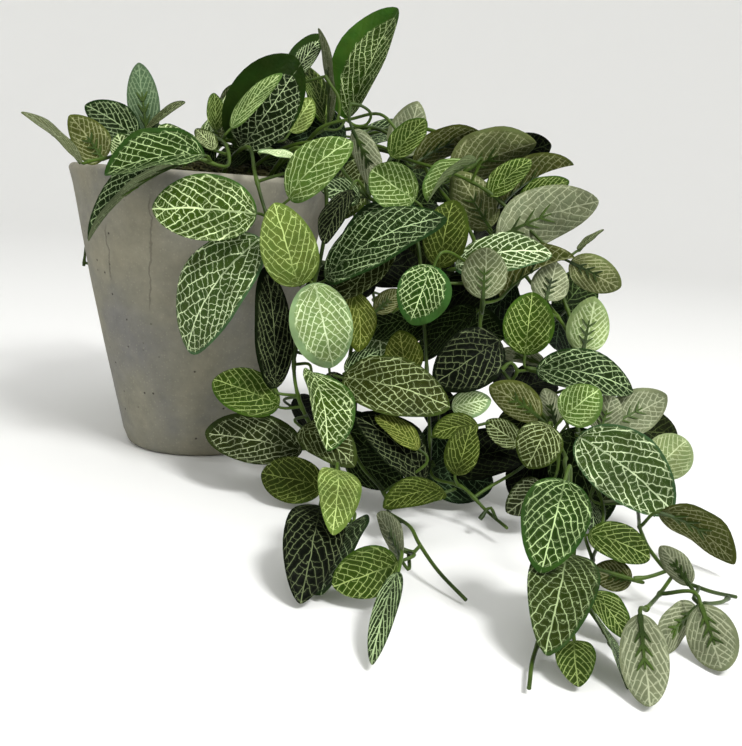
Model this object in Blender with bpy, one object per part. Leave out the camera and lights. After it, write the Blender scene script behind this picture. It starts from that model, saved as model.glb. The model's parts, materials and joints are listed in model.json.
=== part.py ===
"""An artificial trailing nerve plant in a tapered cement pot, as solids for the CAD record.

Lengths are in millimetres in this file and become metres where the meshes are made.
The origin is at the middle of the pot's flat base, +Z is up and the photographed side faces -Y.
Leaves and stems are laid out from points read off the photograph: each point is taken along
its line of sight to a chosen distance in front of the pot's axis.
"""
import math
import random

import bmesh
import bpy
import numpy as np
from mathutils.bvhtree import BVHTree

MM = 0.001

# Pot and filling
POT_HEIGHT = 150.0
POT_RIM_RADIUS = 70.0
POT_BASE_RADIUS = 36.5
POT_WALL = 6.0
POT_FLOOR = 8.0
POT_LIP_RADIUS = 3.0
POT_BASE_EDGE_RADIUS = 4.0
POT_SIDE_SWELL = 1.2
POT_SEGMENTS = 40
FILLING_TOP = 137.0
FILLING_GAP = 0.4
FILLING_SEGMENTS = 28
HOLE_RADIUS = 2.0
HOLE_DEPTH = 26.0
STEM_START_DEPTH = 25.0

# Leaves and stems
BLADE_THICKNESS = 0.8
PETIOLE_HALF_WIDTH = 0.85
PETIOLE_HALF_THICKNESS = 0.65
PETIOLE_BEND_LENGTH = 12.0
PETIOLE_SHORTEST = 2.5
PETIOLE_BEND_SHARE = 0.25
PETIOLE_BEND_LIMIT = 4.0
STEM_RADIUS = 1.15
TWIG_RADIUS = 0.75
STEM_SIDES = 5
STEM_STEP = 17.0
FINE_STEP = 3.0
STEM_SPACING = 6.5
CLEARANCE = 0.35
FLOOR_CLEARANCE = 0.5
BLADE_ROWS = (0.12, 0.45, 0.80)
HIDDEN_BLADE_ROWS = (0.25, 0.70)
LEAF_WIDTH_RATIO = 0.64
GAP_LEAF_SPACING = 18
EDGE_PLACES = ((0.45, 1.0), (0.45, -1.0), (0.3, 0.0), (0.7, 0.0))

# The photograph's viewpoint, worked out from the pot's outline
PHOTO_CENTRE = np.array([371.0, 373.0])
PHOTO_FOCAL = 1000.0
VIEW_POINT = np.array([98.5, -551.0, 150.0])
VIEW_PITCH = math.radians(10.65)
VIEW_ROLL = math.radians(-4.35)

# How a blade is bent: arch along its midrib, fold and cup across it, and twist in degrees
FORMS = {
    "flat": (0.04, 0.06, 0.04, 0.0),
    "drooped": (0.13, 0.05, 0.08, 0.0),
    "lifted": (-0.08, 0.10, 0.08, 0.0),
    "cupped": (0.07, 0.10, 0.30, 0.0),
    "folded": (0.10, 0.62, 0.0, 0.0),
    "twisted": (0.08, 0.14, 0.05, 38.0),
}


def unit(vector):
    """Give a vector's direction."""
    return vector / np.linalg.norm(vector)


# Lines of sight
def view_axes():
    """Give the viewpoint's right, up and forward directions."""
    right = np.array([1.0, 0.0, 0.0])
    forward = np.array([0.0, math.cos(VIEW_PITCH), -math.sin(VIEW_PITCH)])
    up = np.array([0.0, math.sin(VIEW_PITCH), math.cos(VIEW_PITCH)])
    return right, up, forward


def sight(px, py):
    """Give the direction from the viewpoint through a point of the photograph."""
    right, up, forward = view_axes()
    across = (px - PHOTO_CENTRE[0]) / PHOTO_FOCAL
    raised = (PHOTO_CENTRE[1] - py) / PHOTO_FOCAL
    turned_across = across * math.cos(VIEW_ROLL) + raised * math.sin(VIEW_ROLL)
    turned_raised = raised * math.cos(VIEW_ROLL) - across * math.sin(VIEW_ROLL)
    return forward + turned_across * right + turned_raised * up


def picture_point(point):
    """Give where a point of the object is seen in the photograph."""
    right, up, forward = view_axes()
    offset = np.asarray(point) - VIEW_POINT
    depth = offset @ forward
    across = offset @ right / depth
    raised = offset @ up / depth
    px = PHOTO_CENTRE[0] + PHOTO_FOCAL * (across * math.cos(VIEW_ROLL) - raised * math.sin(VIEW_ROLL))
    py = PHOTO_CENTRE[1] - PHOTO_FOCAL * (across * math.sin(VIEW_ROLL) + raised * math.cos(VIEW_ROLL))
    return px, py


def low(px, py, height):
    """Take a seen point at a height above the surface the pot stands on."""
    ray = sight(px, py)
    return VIEW_POINT + ray * ((height - VIEW_POINT[2]) / ray[2])


def at(px, py, front):
    """Take a seen point at a distance in front of the pot's axis, but not below the surface."""
    ray = sight(px, py)
    point = VIEW_POINT + ray * ((-front - VIEW_POINT[1]) / ray[1])
    if point[2] < 2.0:
        return low(px, py, 2.0)
    return point


def leaf(base, tip, seen, face="top", form="drooped", tone="green", flip=False, ratio=LEAF_WIDTH_RATIO):
    """Describe one leaf by its base, tip, seen width in picture points, visible face and form."""
    return {"base": base, "tip": tip, "seen": seen, "face": face, "form": form, "tone": tone,
            "flip": flip, "ratio": ratio}


def stem(name, hole, route, leaves, twigs=(), fillers=()):
    """Describe one leafy stem by its hole in the filling, its route, leaves, bare twigs and fillers."""
    return {"name": name, "hole": hole, "route": route, "leaves": leaves, "twigs": list(twigs),
            "fillers": list(fillers)}


# The leafy stems, read from the photograph
STEMS = [
    stem("leafy_stem_left_rim", (-34.0, -28.0),
         [at(140, 141, 40), at(122, 152, 62), at(101, 160, 78), at(86, 162, 84)],
         [leaf(at(82, 163, 86), at(24, 109, 97), 10, "top", "flat", "olive_grey"),
          leaf(at(103, 160, 80), at(70, 116, 70), 36, "under", "drooped", "brown_under"),
          leaf(at(138, 140, 46), at(86, 104, 56), 34, "top", "drooped", "dark"),
          leaf(at(148, 138, 38), at(139, 63, 30), 30, "under", "lifted", "teal_under", ratio=0.42),
          leaf(at(142, 136, 42), at(184, 101, 50), 7, "top", "flat", "olive"),
          leaf(at(128, 160, 72), at(118, 133, 76), 30, "top", "cupped", "green", ratio=0.9)],
         fillers=(0.05, 0.35)),
    stem("leafy_stem_rim_curl", (-6.0, -38.0),
         [at(205, 142, 50), at(228, 152, 74), at(226, 168, 80), at(213, 172, 84), at(197, 158, 86)],
         [leaf(at(205, 155, 90), at(103, 171, 96), 38, "top", "cupped", "green"),
          leaf(at(197, 157, 88), at(88, 241, 92), 16, "top", "folded", "dark"),
          leaf(at(215, 150, 70), at(196, 128, 66), 16, "top", "flat", "olive")],
         fillers=(0.05, 0.3)),
    stem("leafy_stem_pot_front", (16.0, -44.0),
         [at(248, 146, 68), at(257, 182, 82), at(265, 210, 85), at(280, 246, 88), at(300, 282, 91)],
         [leaf(at(257, 213, 90), at(152, 208, 92), 64, "top", "drooped", "green"),
          leaf(at(262, 239, 88), at(188, 352, 80), 66, "top", "drooped", "blue_green"),
          leaf(at(300, 286, 95), at(275, 203, 103), 56, "top", "drooped", "yellow_green"),
          leaf(at(312, 283, 95), at(331, 369, 93), 62, "top", "drooped", "mint", ratio=0.58),
          leaf(at(289, 199, 90), at(353, 142, 92), 44, "top", "drooped", "bright"),
          leaf(at(300, 160, 84), at(258, 151, 84), 7, "top", "flat", "mint")],
         fillers=(0.2,)),
    stem("leafy_stem_long_drop", (38.0, -34.0),
         [at(300, 148, 60), at(326, 190, 80), at(322, 250, 80), at(306, 312, 82), at(296, 350, 86),
          at(293, 372, 88), at(298, 396, 90), at(306, 416, 92), at(320, 442, 98), at(334, 466, 114),
          low(343, 496, 18), low(352, 528, 5)],
         [leaf(at(325, 280, 88), at(447, 218, 90), 50, "top", "drooped", "dark", ratio=0.5),
          leaf(at(274, 389, 92), at(264, 267, 88), 38, "top", "flat", "black_green", ratio=0.4),
          leaf(at(279, 407, 92), at(212, 380, 86), 46, "top", "drooped", "leaf_green"),
          leaf(at(303, 449, 96), at(205, 432, 88), 50, "top", "drooped", "brown_green", ratio=0.5),
          leaf(at(324, 486, 106), at(261, 474, 100), 46, "top", "drooped", "moss_green"),
          leaf(at(312, 372, 98), at(330, 449, 130), 44, "top", "cupped", "green"),
          leaf(at(330, 372, 84), at(345, 440, 88), 36, "top", "flat", "black_green"),
          leaf(at(302, 427, 108), at(355, 466, 124), 42, "top", "drooped", "olive"),
          leaf(at(337, 470, 155), low(333, 536, 21), 44, "top", "drooped", "yellow_green", ratio=0.4),
          leaf(low(320, 506, 22), low(300, 604, 2.5), 60, "top", "drooped", "black_green", ratio=0.4),
          leaf(low(352, 528, 14), low(322, 601, 2.5), 44, "top", "flat", "dark")],
         fillers=(0.25, 0.4)),
    stem("leafy_stem_low_front", (49.0, -20.0),
         [at(350, 150, 36), at(370, 230, 62), at(354, 330, 72), at(346, 408, 84), at(356, 458, 100),
          at(374, 480, 108), at(389, 499, 116), low(389, 513, 14), low(404, 521, 14), low(420, 545, 12),
          low(431, 563, 9), low(450, 583, 5), low(466, 600, 2.6)],
         [leaf(low(398, 562, 16), low(332, 585, 8), 50, "top", "drooped", "leaf_green"),
          leaf(low(402, 560, 15), low(377, 514, 25), 22, "under", "flat", "pale_under"),
          leaf(low(398, 572, 18), low(372, 665, 3), 24, "top", "flat", "dark", ratio=0.2),
          leaf(low(445, 492, 18), low(383, 508, 12), 30, "top", "drooped", "moss_green"),
          leaf(at(425, 482, 112), at(354, 414, 104), 46, "top", "drooped", "black_green"),
          leaf(at(419, 449, 110), at(377, 414, 106), 22, "top", "flat", "yellow_dark"),
          leaf(at(343, 378, 90), at(450, 407, 100), 58, "top", "drooped", "olive", ratio=0.55),
          leaf(at(345, 372, 86), at(380, 350, 84), 22, "top", "flat", "dark"),
          leaf(at(352, 292, 84), at(358, 352, 88), 32, "top", "drooped", "yellow_dark")],
         twigs=([low(420, 545, 12), low(408, 552, 13), low(398, 548, 14)],
                [low(404, 521, 14), low(392, 523, 12), low(386, 531, 10)]),
         fillers=(0.25,)),
    stem("leafy_stem_middle_run", (38.0, 10.0),
         [at(350, 156, 2), at(410, 215, 40), at(424, 320, 58), at(430, 420, 84), at(440, 484, 108),
          at(462, 487, 114), low(478, 503, 13), low(507, 528, 9)],
         [leaf(at(455, 475, 116), at(470, 425, 112), 34, "top", "drooped", "moss_green"),
          leaf(at(478, 425, 104), at(432, 435, 108), 26, "top", "drooped", "moss_green"),
          leaf(at(520, 444, 102), at(486, 421, 100), 26, "top", "flat", "olive")],
         twigs=([low(497, 521, 9), low(492, 507, 14), low(480, 519, 9)],),
         fillers=(0.2, 0.3)),
    stem("leafy_stem_centre_drop", (24.0, 30.0),
         [at(372, 128, -8), at(440, 190, 34), at(476, 246, 66), at(483, 290, 80), at(482, 338, 84),
          at(492, 356, 88), at(515, 386, 96), at(545, 418, 104), at(560, 446, 118), low(566, 474, 44),
          low(572, 510, 34), low(574, 560, 14), low(562, 610, 6), low(537, 645, 4), low(529, 688, 2.6)],
         [leaf(at(434, 266, 96), at(412, 325, 100), 54, "top", "drooped", "green_dark"),
          leaf(at(440, 268, 78), at(455, 200, 70), 44, "top", "drooped", "moss_green"),
          leaf(at(483, 299, 98), at(486, 247, 99), 46, "under", "cupped", "olive_grey"),
          leaf(at(407, 376, 84), at(400, 330, 82), 38, "top", "cupped", "yellow_dark"),
          leaf(at(500, 340, 90), at(434, 385, 98), 60, "top", "drooped", "black_green"),
          leaf(at(452, 408, 96), at(491, 400, 100), 28, "top", "flat", "mint"),
          leaf(at(455, 268, 88), at(552, 254, 90), 38, "top", "drooped", "blue_green", ratio=0.5),
          leaf(at(500, 298, 82), at(574, 256, 80), 20, "under", "folded", "brown_under"),
          leaf(at(545, 364, 92), at(492, 352, 90), 16, "under", "flat", "pale_under"),
          leaf(at(549, 424, 116), at(527, 468, 122), 46, "top", "drooped", "olive"),
          leaf(at(540, 418, 108), at(490, 385, 102), 36, "under", "drooped", "brown_under"),
          leaf(at(556, 426, 107), at(545, 388, 104), 24, "under", "flat", "pale_under"),
          leaf(at(563, 418, 114), at(600, 390, 116), 44, "top", "cupped", "bright"),
          leaf(low(565, 480, 50), low(540, 572, 24), 66, "top", "drooped", "green_deep", ratio=0.4),
          leaf(low(545, 486, 22), low(506, 512, 12), 36, "top", "drooped", "brown_green"),
          leaf(low(569, 554, 18), low(547, 656, 3), 68, "top", "drooped", "olive_deep", ratio=0.4),
          leaf(low(574, 641, 10), low(579, 687, 2.5), 38, "top", "drooped", "leaf_green")],
         twigs=([at(512, 380, 96), at(517, 368, 97), at(508, 362, 98), at(502, 370, 99)],),
         fillers=(0.3,)),
    stem("leafy_stem_right_wave", (52.0, 10.0),
         [at(392, 150, 10), at(470, 212, 28), at(535, 288, 54), at(572, 345, 80), at(574, 400, 94),
          at(580, 438, 104), at(590, 470, 114), at(601, 496, 122), low(602, 525, 14), low(593, 557, 12)],
         [leaf(at(525, 355, 86), at(533, 292, 80), 50, "top", "drooped", "leaf_green"),
          leaf(at(583, 352, 88), at(594, 297, 82), 42, "under", "cupped", "mint"),
          leaf(at(546, 300, 76), at(556, 262, 70), 40, "under", "cupped", "pale_under"),
          leaf(at(536, 370, 94), at(634, 390, 98), 42, "top", "drooped", "dark", ratio=0.55),
          leaf(at(600, 432, 108), at(612, 394, 104), 34, "under", "cupped", "pale_under"),
          leaf(at(612, 424, 108), at(667, 395, 104), 44, "under", "drooped", "pale_under"),
          leaf(at(650, 474, 118), at(687, 440, 112), 44, "top", "cupped", "mint_dull"),
          leaf(at(578, 436, 114), at(673, 512, 132), 68, "top", "drooped", "blue_green"),
          leaf(low(600, 503, 14), low(655, 517, 12), 12, "top", "folded", "olive"),
          leaf(low(590, 500, 18), low(592, 538, 8), 20, "top", "flat", "dark"),
          leaf(low(588, 534, 16), low(650, 559, 9), 36, "top", "drooped", "leaf_green"),
          leaf(low(632, 580, 9), low(592, 570, 9), 30, "under", "flat", "brown_under"),
          leaf(low(590, 592, 14), low(626, 639, 3), 28, "top", "drooped", "leaf_green"),
          leaf(low(590, 608, 16), low(627, 689, 3), 7, "top", "flat", "dark")],
         twigs=([low(593, 557, 12), low(590, 580, 12), low(590, 600, 12)],),
         fillers=(0.2, 0.4)),
    stem("leafy_stem_right_floor", (46.0, 24.0),
         [at(420, 128, -6), at(505, 184, 24), at(548, 262, 44), at(582, 350, 62), at(606, 420, 80),
          at(632, 492, 100), low(648, 545, 18), low(664, 570, 15), low(685, 582, 13), low(706, 590, 9),
          low(736, 597, 4)],
         [leaf(low(660, 512, 24), low(735, 564, 8), 34, "under", "drooped", "brown_under"),
          leaf(low(690, 585, 14), low(660, 546, 26), 24, "under", "flat", "pale_under"),
          leaf(low(640, 614, 24), low(649, 707, 2.5), 46, "under", "drooped", "pale_under", ratio=0.5),
          leaf(low(696, 607, 13), low(656, 653, 4), 28, "under", "flat", "pale_under", ratio=0.5),
          leaf(low(701, 605, 18), low(724, 671, 2.5), 46, "under", "drooped", "pale_under"),
          leaf(at(570, 262, 52), at(621, 287, 58), 36, "under", "drooped", "olive_under")],
         twigs=([low(672, 577, 14), low(658, 596, 18), low(646, 609, 22)],
                [low(700, 589, 10), low(697, 603, 14), low(722, 602, 10), low(728, 598, 8)],
                [low(664, 570, 15), low(648, 577, 13), low(634, 579, 12)]),
         fillers=(0.25, 0.45)),
    stem("leafy_stem_top_right", (54.0, -4.0),
         [at(376, 146, 26), at(412, 162, 42), at(452, 173, 50), at(488, 192, 56), at(506, 206, 58),
          at(520, 222, 58)],
         [leaf(at(412, 166, 46), at(490, 139, 42), 30, "under", "drooped", "brown_under"),
          leaf(at(450, 181, 52), at(536, 142, 46), 46, "under", "cupped", "olive_under"),
          leaf(at(476, 162, 62), at(428, 203, 74), 12, "top", "folded", "bright"),
          leaf(at(489, 196, 56), at(530, 158, 54), 26, "top", "flat", "leaf_green"),
          leaf(at(500, 206, 56), at(574, 165, 50), 15, "under", "folded", "brown_under"),
          leaf(at(520, 202, 60), at(569, 180, 60), 24, "top", "flat", "leaf_green"),
          leaf(at(490, 228, 54), at(455, 172, 48), 45, "under", "cupped", "olive_under"),
          leaf(at(497, 239, 70), at(599, 201, 64), 56, "under", "drooped", "pale_under", ratio=0.56),
          leaf(at(578, 250, 66), at(604, 230, 62), 6, "top", "flat", "olive")],
         fillers=(0.4, 0.7)),
    stem("leafy_stem_top_centre", (36.0, -10.0),
         [at(300, 146, 26), at(322, 128, 34), at(340, 118, 38), at(356, 119, 40), at(375, 113, 42),
          at(390, 120, 44), at(404, 140, 46)],
         [leaf(at(288, 78, 30), at(321, 32, 14), 24, "top", "flat", "dark_plain", ratio=0.4),
          leaf(at(329, 125, 38), at(320, 28, 34), 9, "under", "flat", "olive_grey"),
          leaf(at(345, 119, 30), at(396, 7, 18), 46, "top", "cupped", "green_wide", ratio=0.5),
          leaf(at(325, 125, 28), at(305, 62, 20), 24, "top", "flat", "leaf_green"),
          leaf(at(400, 155, 34), at(418, 101, 26), 38, "under", "cupped", "pale_under"),
          leaf(at(392, 158, 50), at(425, 118, 44), 28, "top", "flat", "leaf_green"),
          leaf(at(353, 130, 56), at(379, 192, 68), 26, "under", "flat", "pale_under", ratio=0.45)],
         twigs=([at(336, 119, 37), at(340, 104, 38), at(325, 76, 34)],
                [at(346, 118, 39), at(362, 127, 42), at(372, 117, 44), at(362, 106, 45), at(350, 104, 46)]),
         fillers=(0.3, 0.6)),
    stem("leafy_stem_top_left", (-10.0, -8.0),
         [at(196, 138, 22), at(218, 136, 34), at(234, 142, 42), at(262, 138, 46)],
         [leaf(at(234, 146, 52), at(296, 57, 44), 68, "top", "cupped", "dark_plain", ratio=0.62),
          leaf(at(231, 128, 66), at(281, 72, 66), 18, "top", "flat", "bright", ratio=0.34),
          leaf(at(290, 132, 34), at(312, 98, 30), 26, "top", "flat", "yellow_green"),
          leaf(at(215, 130, 40), at(214, 93, 36), 18, "top", "flat", "leaf_green"),
          leaf(at(252, 152, 24), at(213, 163, 22), 22, "top", "flat", "deep_green"),
          leaf(at(214, 148, 6), at(188, 168, 10), 24, "top", "flat", "deep_green"),
          leaf(at(232, 150, -6), at(262, 168, -2), 24, "top", "flat", "deep_black"),
          leaf(at(256, 160, -20), at(294, 170, -16), 22, "top", "flat", "deep_green")],
         fillers=(0.1, 0.4, 0.7)),
    stem("leafy_stem_centre_bunch", (22.0, -20.0),
         [at(316, 142, 34), at(356, 186, 60), at(386, 208, 68), at(415, 214, 70), at(436, 248, 72),
          at(424, 292, 70), at(392, 312, 68)],
         [leaf(at(426, 220, 80), at(340, 238, 84), 34, "top", "drooped", "dark"),
          leaf(at(350, 190, 74), at(323, 242, 88), 24, "top", "flat", "black_green"),
          leaf(at(360, 197, 74), at(322, 187, 86), 26, "top", "flat", "dark"),
          leaf(at(415, 201, 78), at(371, 170, 74), 45, "top", "cupped", "bright"),
          leaf(at(375, 312, 72), at(400, 290, 72), 22, "under", "flat", "brown_under")],
         fillers=(0.6, 0.8)),
]


# Leafy stems at the back and the left, which the photograph doesn't show
def back_stem(name, hole, angle, reach, drop):
    """Give a stem that rises from its hole, arches over the rim at an angle and hangs behind."""
    outward = np.array([math.cos(math.radians(angle)), math.sin(math.radians(angle)), 0.0])
    start = np.array([hole[0], hole[1], 0.0])
    route = [start + outward * 12.0 + np.array([0.0, 0.0, 164.0]),
             outward * 76.0 + np.array([0.0, 0.0, 168.0]),
             outward * (76.0 + 0.5 * reach) + np.array([0.0, 0.0, 150.0 - 0.3 * drop]),
             outward * (76.0 + 0.8 * reach) + np.array([0.0, 0.0, 150.0 - 0.7 * drop]),
             outward * (76.0 + reach) + np.array([0.0, 0.0, 150.0 - drop])]
    return stem(name, hole, route, [], fillers=(0.1, 0.35, 0.55, 0.75, 0.9, 1.0))


STEMS += [
    back_stem("leafy_stem_back_left", (-42.0, 6.0), 152.0, 10.0, 60.0),
    back_stem("leafy_stem_back_middle", (-22.0, 36.0), 118.0, 22.0, 90.0),
    back_stem("leafy_stem_back", (-4.0, 48.0), 88.0, 26.0, 70.0),
    back_stem("leafy_stem_back_right", (16.0, 48.0), 58.0, 34.0, 100.0),
    back_stem("leafy_stem_back_side", (34.0, 38.0), 30.0, 40.0, 80.0),
]

# The foliage's edge in the photograph, which leaves that it doesn't show stay inside
FOLIAGE_EDGE = [
    (60, 163), (50, 130), (86, 100), (126, 112), (139, 63), (156, 116), (166, 128), (200, 128),
    (206, 92), (226, 90), (246, 60), (262, 54), (300, 34), (345, 34),
    (398, 10), (405, 62), (422, 100), (490, 130), (536, 134), (576, 164), (600, 196), (606, 232),
    (620, 290), (600, 300), (606, 344), (632, 366), (636, 388), (666, 396), (690, 440), (672, 512),
    (726, 562), (724, 600), (720, 668), (655, 700), (600, 690), (548, 650), (466, 604), (375, 660),
    (290, 602), (322, 500), (300, 440), (330, 200), (300, 164),
]

# Where the foliage is dense in the photograph, and the open spots in it
DENSE_EDGE = [
    (104, 160), (104, 132), (150, 136), (200, 130), (210, 104), (232, 90), (290, 66), (330, 104),
    (356, 108), (404, 118), (432, 134),
    (528, 146), (566, 182), (586, 208), (560, 238), (572, 272), (588, 300), (596, 350), (620, 386),
    (656, 420), (664, 492), (640, 522), (640, 556), (604, 590), (586, 562), (592, 500), (520, 492),
    (470, 476), (440, 494), (398, 500), (366, 520), (350, 556), (296, 556), (290, 506), (304, 470),
    (300, 440), (296, 400), (322, 300), (328, 210), (326, 170), (240, 165), (150, 156),
]
OPEN_SPOTS = [(428, 356, 12), (372, 332, 12), (462, 505, 14), (300, 372, 10)]


# Shapes of stems and blades
def smooth_route(points, step):
    """Give evenly spaced points along a smooth curve through the given points."""
    points = [np.asarray(point, dtype=float) for point in points]
    gaps = [np.linalg.norm(points[i + 1] - points[i]) for i in range(len(points) - 1)]
    slopes = []
    for i in range(len(points)):
        if i == 0:
            slopes.append((points[1] - points[0]) / gaps[0])
        elif i == len(points) - 1:
            slopes.append((points[-1] - points[-2]) / gaps[-1])
        else:
            before = (points[i] - points[i - 1]) / gaps[i - 1]
            after = (points[i + 1] - points[i]) / gaps[i]
            slopes.append((before * gaps[i] + after * gaps[i - 1]) / (gaps[i - 1] + gaps[i]))
    dense = [points[0]]
    for i, gap in enumerate(gaps):
        for k in range(1, 17):
            u = k / 16
            dense.append((2 * u**3 - 3 * u**2 + 1) * points[i] + (u**3 - 2 * u**2 + u) * gap * slopes[i]
                         + (3 * u**2 - 2 * u**3) * points[i + 1] + (u**3 - u**2) * gap * slopes[i + 1])
    dense = np.array(dense)
    travelled = np.concatenate([[0.0], np.cumsum(np.linalg.norm(np.diff(dense, axis=0), axis=1))])
    count = max(2, int(round(travelled[-1] / step)))
    wanted = np.linspace(0.0, travelled[-1], count + 1)
    return np.column_stack([np.interp(wanted, travelled, dense[:, axis]) for axis in range(3)])


def pot_outer_radius(height):
    """Give the pot's outer radius at a height."""
    share = min(max(height / POT_HEIGHT, 0.0), 1.0)
    straight = POT_BASE_RADIUS + (POT_RIM_RADIUS - POT_BASE_RADIUS) * share
    return straight + POT_SIDE_SWELL * math.sin(math.pi * share)


def clear_of_pot(point, margin):
    """Push a point on a stem outward from the pot's wall, or up over its rim."""
    x, y, z = point
    radius = math.hypot(x, y)
    outer = pot_outer_radius(z) + margin
    if z > POT_HEIGHT + margin or radius > outer or radius < POT_RIM_RADIUS - POT_WALL - 6.0:
        return point
    if POT_HEIGHT + margin - z < outer - radius:
        return np.array([x, y, POT_HEIGHT + margin])
    return np.array([x * outer / radius, y * outer / radius, z])


def outline(s):
    """Give a blade's half width along its length, as a share of its widest half width."""
    return 2.159 * math.sqrt(s) * (1.0 - s) ** 0.62


def leaf_frame(described):
    """Work out a leaf's axes, real length and real width from what is seen of it."""
    base = np.asarray(described["base"])
    tip = np.asarray(described["tip"])
    length = np.linalg.norm(tip - base)
    axis = (tip - base) / length
    if "normal" in described:
        normal = described["normal"] - (described["normal"] @ axis) * axis
        normal = unit(normal)
        width = described["ratio"] * length
    else:
        middle = 0.5 * (base + tip)
        toward = VIEW_POINT - middle
        distance = np.linalg.norm(toward)
        facing = unit(toward - (toward @ axis) * axis)
        seen = described["seen"] * distance / PHOTO_FOCAL
        width = max(seen, min(described["ratio"] * length, 1.35 * seen + 14.0))
        width = min(width, 0.95 * length)
        turn = math.acos(min(1.0, seen / width))
        across = np.cross(facing, axis)
        choices = []
        for sign in (1.0, -1.0):
            normal = math.cos(turn) * facing + sign * math.sin(turn) * across
            if described["face"] == "under":
                normal = -normal
            choices.append(normal)
        choices.sort(key=lambda vector: -vector[2])
        normal = choices[1] if described["flip"] else choices[0]
    side = np.cross(normal, axis)
    return {"base": base, "axis": axis, "side": side, "normal": normal, "length": length, "width": width,
            "form": described["form"], "hidden": "normal" in described}


def blade_point(frame, s, t):
    """Give a point of a blade at a share of its length and of its half width."""
    arch, fold, cup, twist = FORMS[frame["form"]]
    half = 0.5 * frame["width"] * outline(s)
    across = t * half
    rise = (fold * abs(t) + cup * t * t) * half
    angle = math.radians(twist) * (s - 0.5)
    sideways = across * math.cos(angle) - rise * math.sin(angle)
    lifted = across * math.sin(angle) + rise * math.cos(angle) + arch * frame["length"] * 4.0 * s * (1.0 - s)
    return (frame["base"] + frame["axis"] * s * frame["length"] + frame["side"] * sideways
            + frame["normal"] * lifted)


def blade_normal(frame, s, t):
    """Give the direction a blade's upper face points at a place on it."""
    step = 0.02
    low_s, high_s = max(s - step, 0.001), min(s + step, 0.999)
    along = blade_point(frame, high_s, t) - blade_point(frame, low_s, t)
    over = blade_point(frame, s, min(t + 0.2, 1.0)) - blade_point(frame, s, max(t - 0.2, -1.0))
    return unit(np.cross(along, over)) * (1.0 if np.cross(along, over) @ frame["normal"] > 0 else -1.0)


def loft(rings):
    """Join rings of points, each listed the same way round, into a closed mesh."""
    points = [point for ring in rings for point in ring]
    faces = []
    starts = np.cumsum([0] + [len(ring) for ring in rings])
    for k in range(len(rings) - 1):
        first, second = starts[k], starts[k + 1]
        m, n = len(rings[k]), len(rings[k + 1])
        if m == n:
            for i in range(m):
                j = (i + 1) % m
                faces.append((first + i, second + i, second + j))
                faces.append((first + i, second + j, first + j))
        elif m == 3 and n == 6:
            # Corners 0 and 1 are the upper pair, and 2 is the lower one
            for i, far in enumerate(((0, 1, 2), (2, 3, 4), (4, 5, 0))):
                a, b = first + i, first + (i + 1) % 3
                c, middle, d = (second + k for k in far)
                faces += [(a, c, middle), (a, middle, b), (b, middle, d)]
        elif m == 6 and n == 2:
            top, bottom = second, second + 1
            faces += [(first, top, first + 1), (first + 1, top, first + 2)]
            faces += [(first + 2, top, bottom), (first + 2, bottom, first + 3)]
            faces += [(first + 3, bottom, first + 4), (first + 4, bottom, first + 5)]
            faces += [(first + 5, bottom, top), (first + 5, top, first)]
    for i in range(1, len(rings[0]) - 1):
        faces.append((0, i, i + 1))
    if len(rings[-1]) > 2:
        last = starts[-2]
        for i in range(1, len(rings[-1]) - 1):
            faces.append((last, last + i + 1, last + i))
    return np.array(points), faces


def carried(vector, old, new):
    """Turn a vector by the smallest turn that takes one direction to another."""
    turn = np.cross(old, new)
    share = old @ new
    if share < -0.98:
        return vector
    return share * vector + np.cross(turn, vector) + turn * (turn @ vector) / (1.0 + share)


def petiole_ring(centre, direction, frame, widen, thicken):
    """Give a petiole's three corners, two above and one below, listed as a blade's rows are."""
    across = carried(frame["side"], frame["axis"], direction)
    upward = np.cross(direction, across)
    wide = across * (PETIOLE_HALF_WIDTH + widen)
    thick = upward * (PETIOLE_HALF_THICKNESS + thicken)
    return [centre - wide + thick, centre + wide + thick, centre - 1.4 * thick]


def leaf_solid(frame, attach, spare=0.0, blade_only=False):
    """Give a leaf's closed mesh from its root inside the stem to its tip, grown by a spare."""
    half = 0.5 * BLADE_THICKNESS + spare
    rings = []
    if not blade_only:
        base = frame["base"]
        reach = np.linalg.norm(base - attach)
        if reach < PETIOLE_SHORTEST:
            base = base + frame["axis"] * PETIOLE_SHORTEST
        if reach > PETIOLE_BEND_LENGTH:
            bend = base - frame["axis"] * min(PETIOLE_BEND_SHARE * reach, PETIOLE_BEND_LIMIT)
            approach = unit(bend - attach)
            arrival = frame["axis"]
            rings.append(petiole_ring(attach, approach, frame, spare, spare))
            rings.append(petiole_ring(bend, unit(approach + arrival), frame, spare, spare))
        else:
            approach = unit(base - attach)
            arrival = unit(approach + frame["axis"])
            rings.append(petiole_ring(attach, approach, frame, spare, spare))
        rings.append(petiole_ring(base, arrival, frame, spare, spare - 0.2))
    for s in HIDDEN_BLADE_ROWS if frame["hidden"] else BLADE_ROWS:
        ring = []
        for t in (-1.0, 0.0, 1.0):
            ring.append(blade_point(frame, s, t) + half * blade_normal(frame, s, t))
        for t in (1.0, 0.0, -1.0):
            ring.append(blade_point(frame, s, t) - half * blade_normal(frame, s, t))
        rings.append(ring)
    tip = blade_point(frame, 0.999, 0.0)
    upward = blade_normal(frame, 0.97, 0.0)
    rings.append([tip + half * upward, tip - half * upward])
    return loft(rings)


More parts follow.
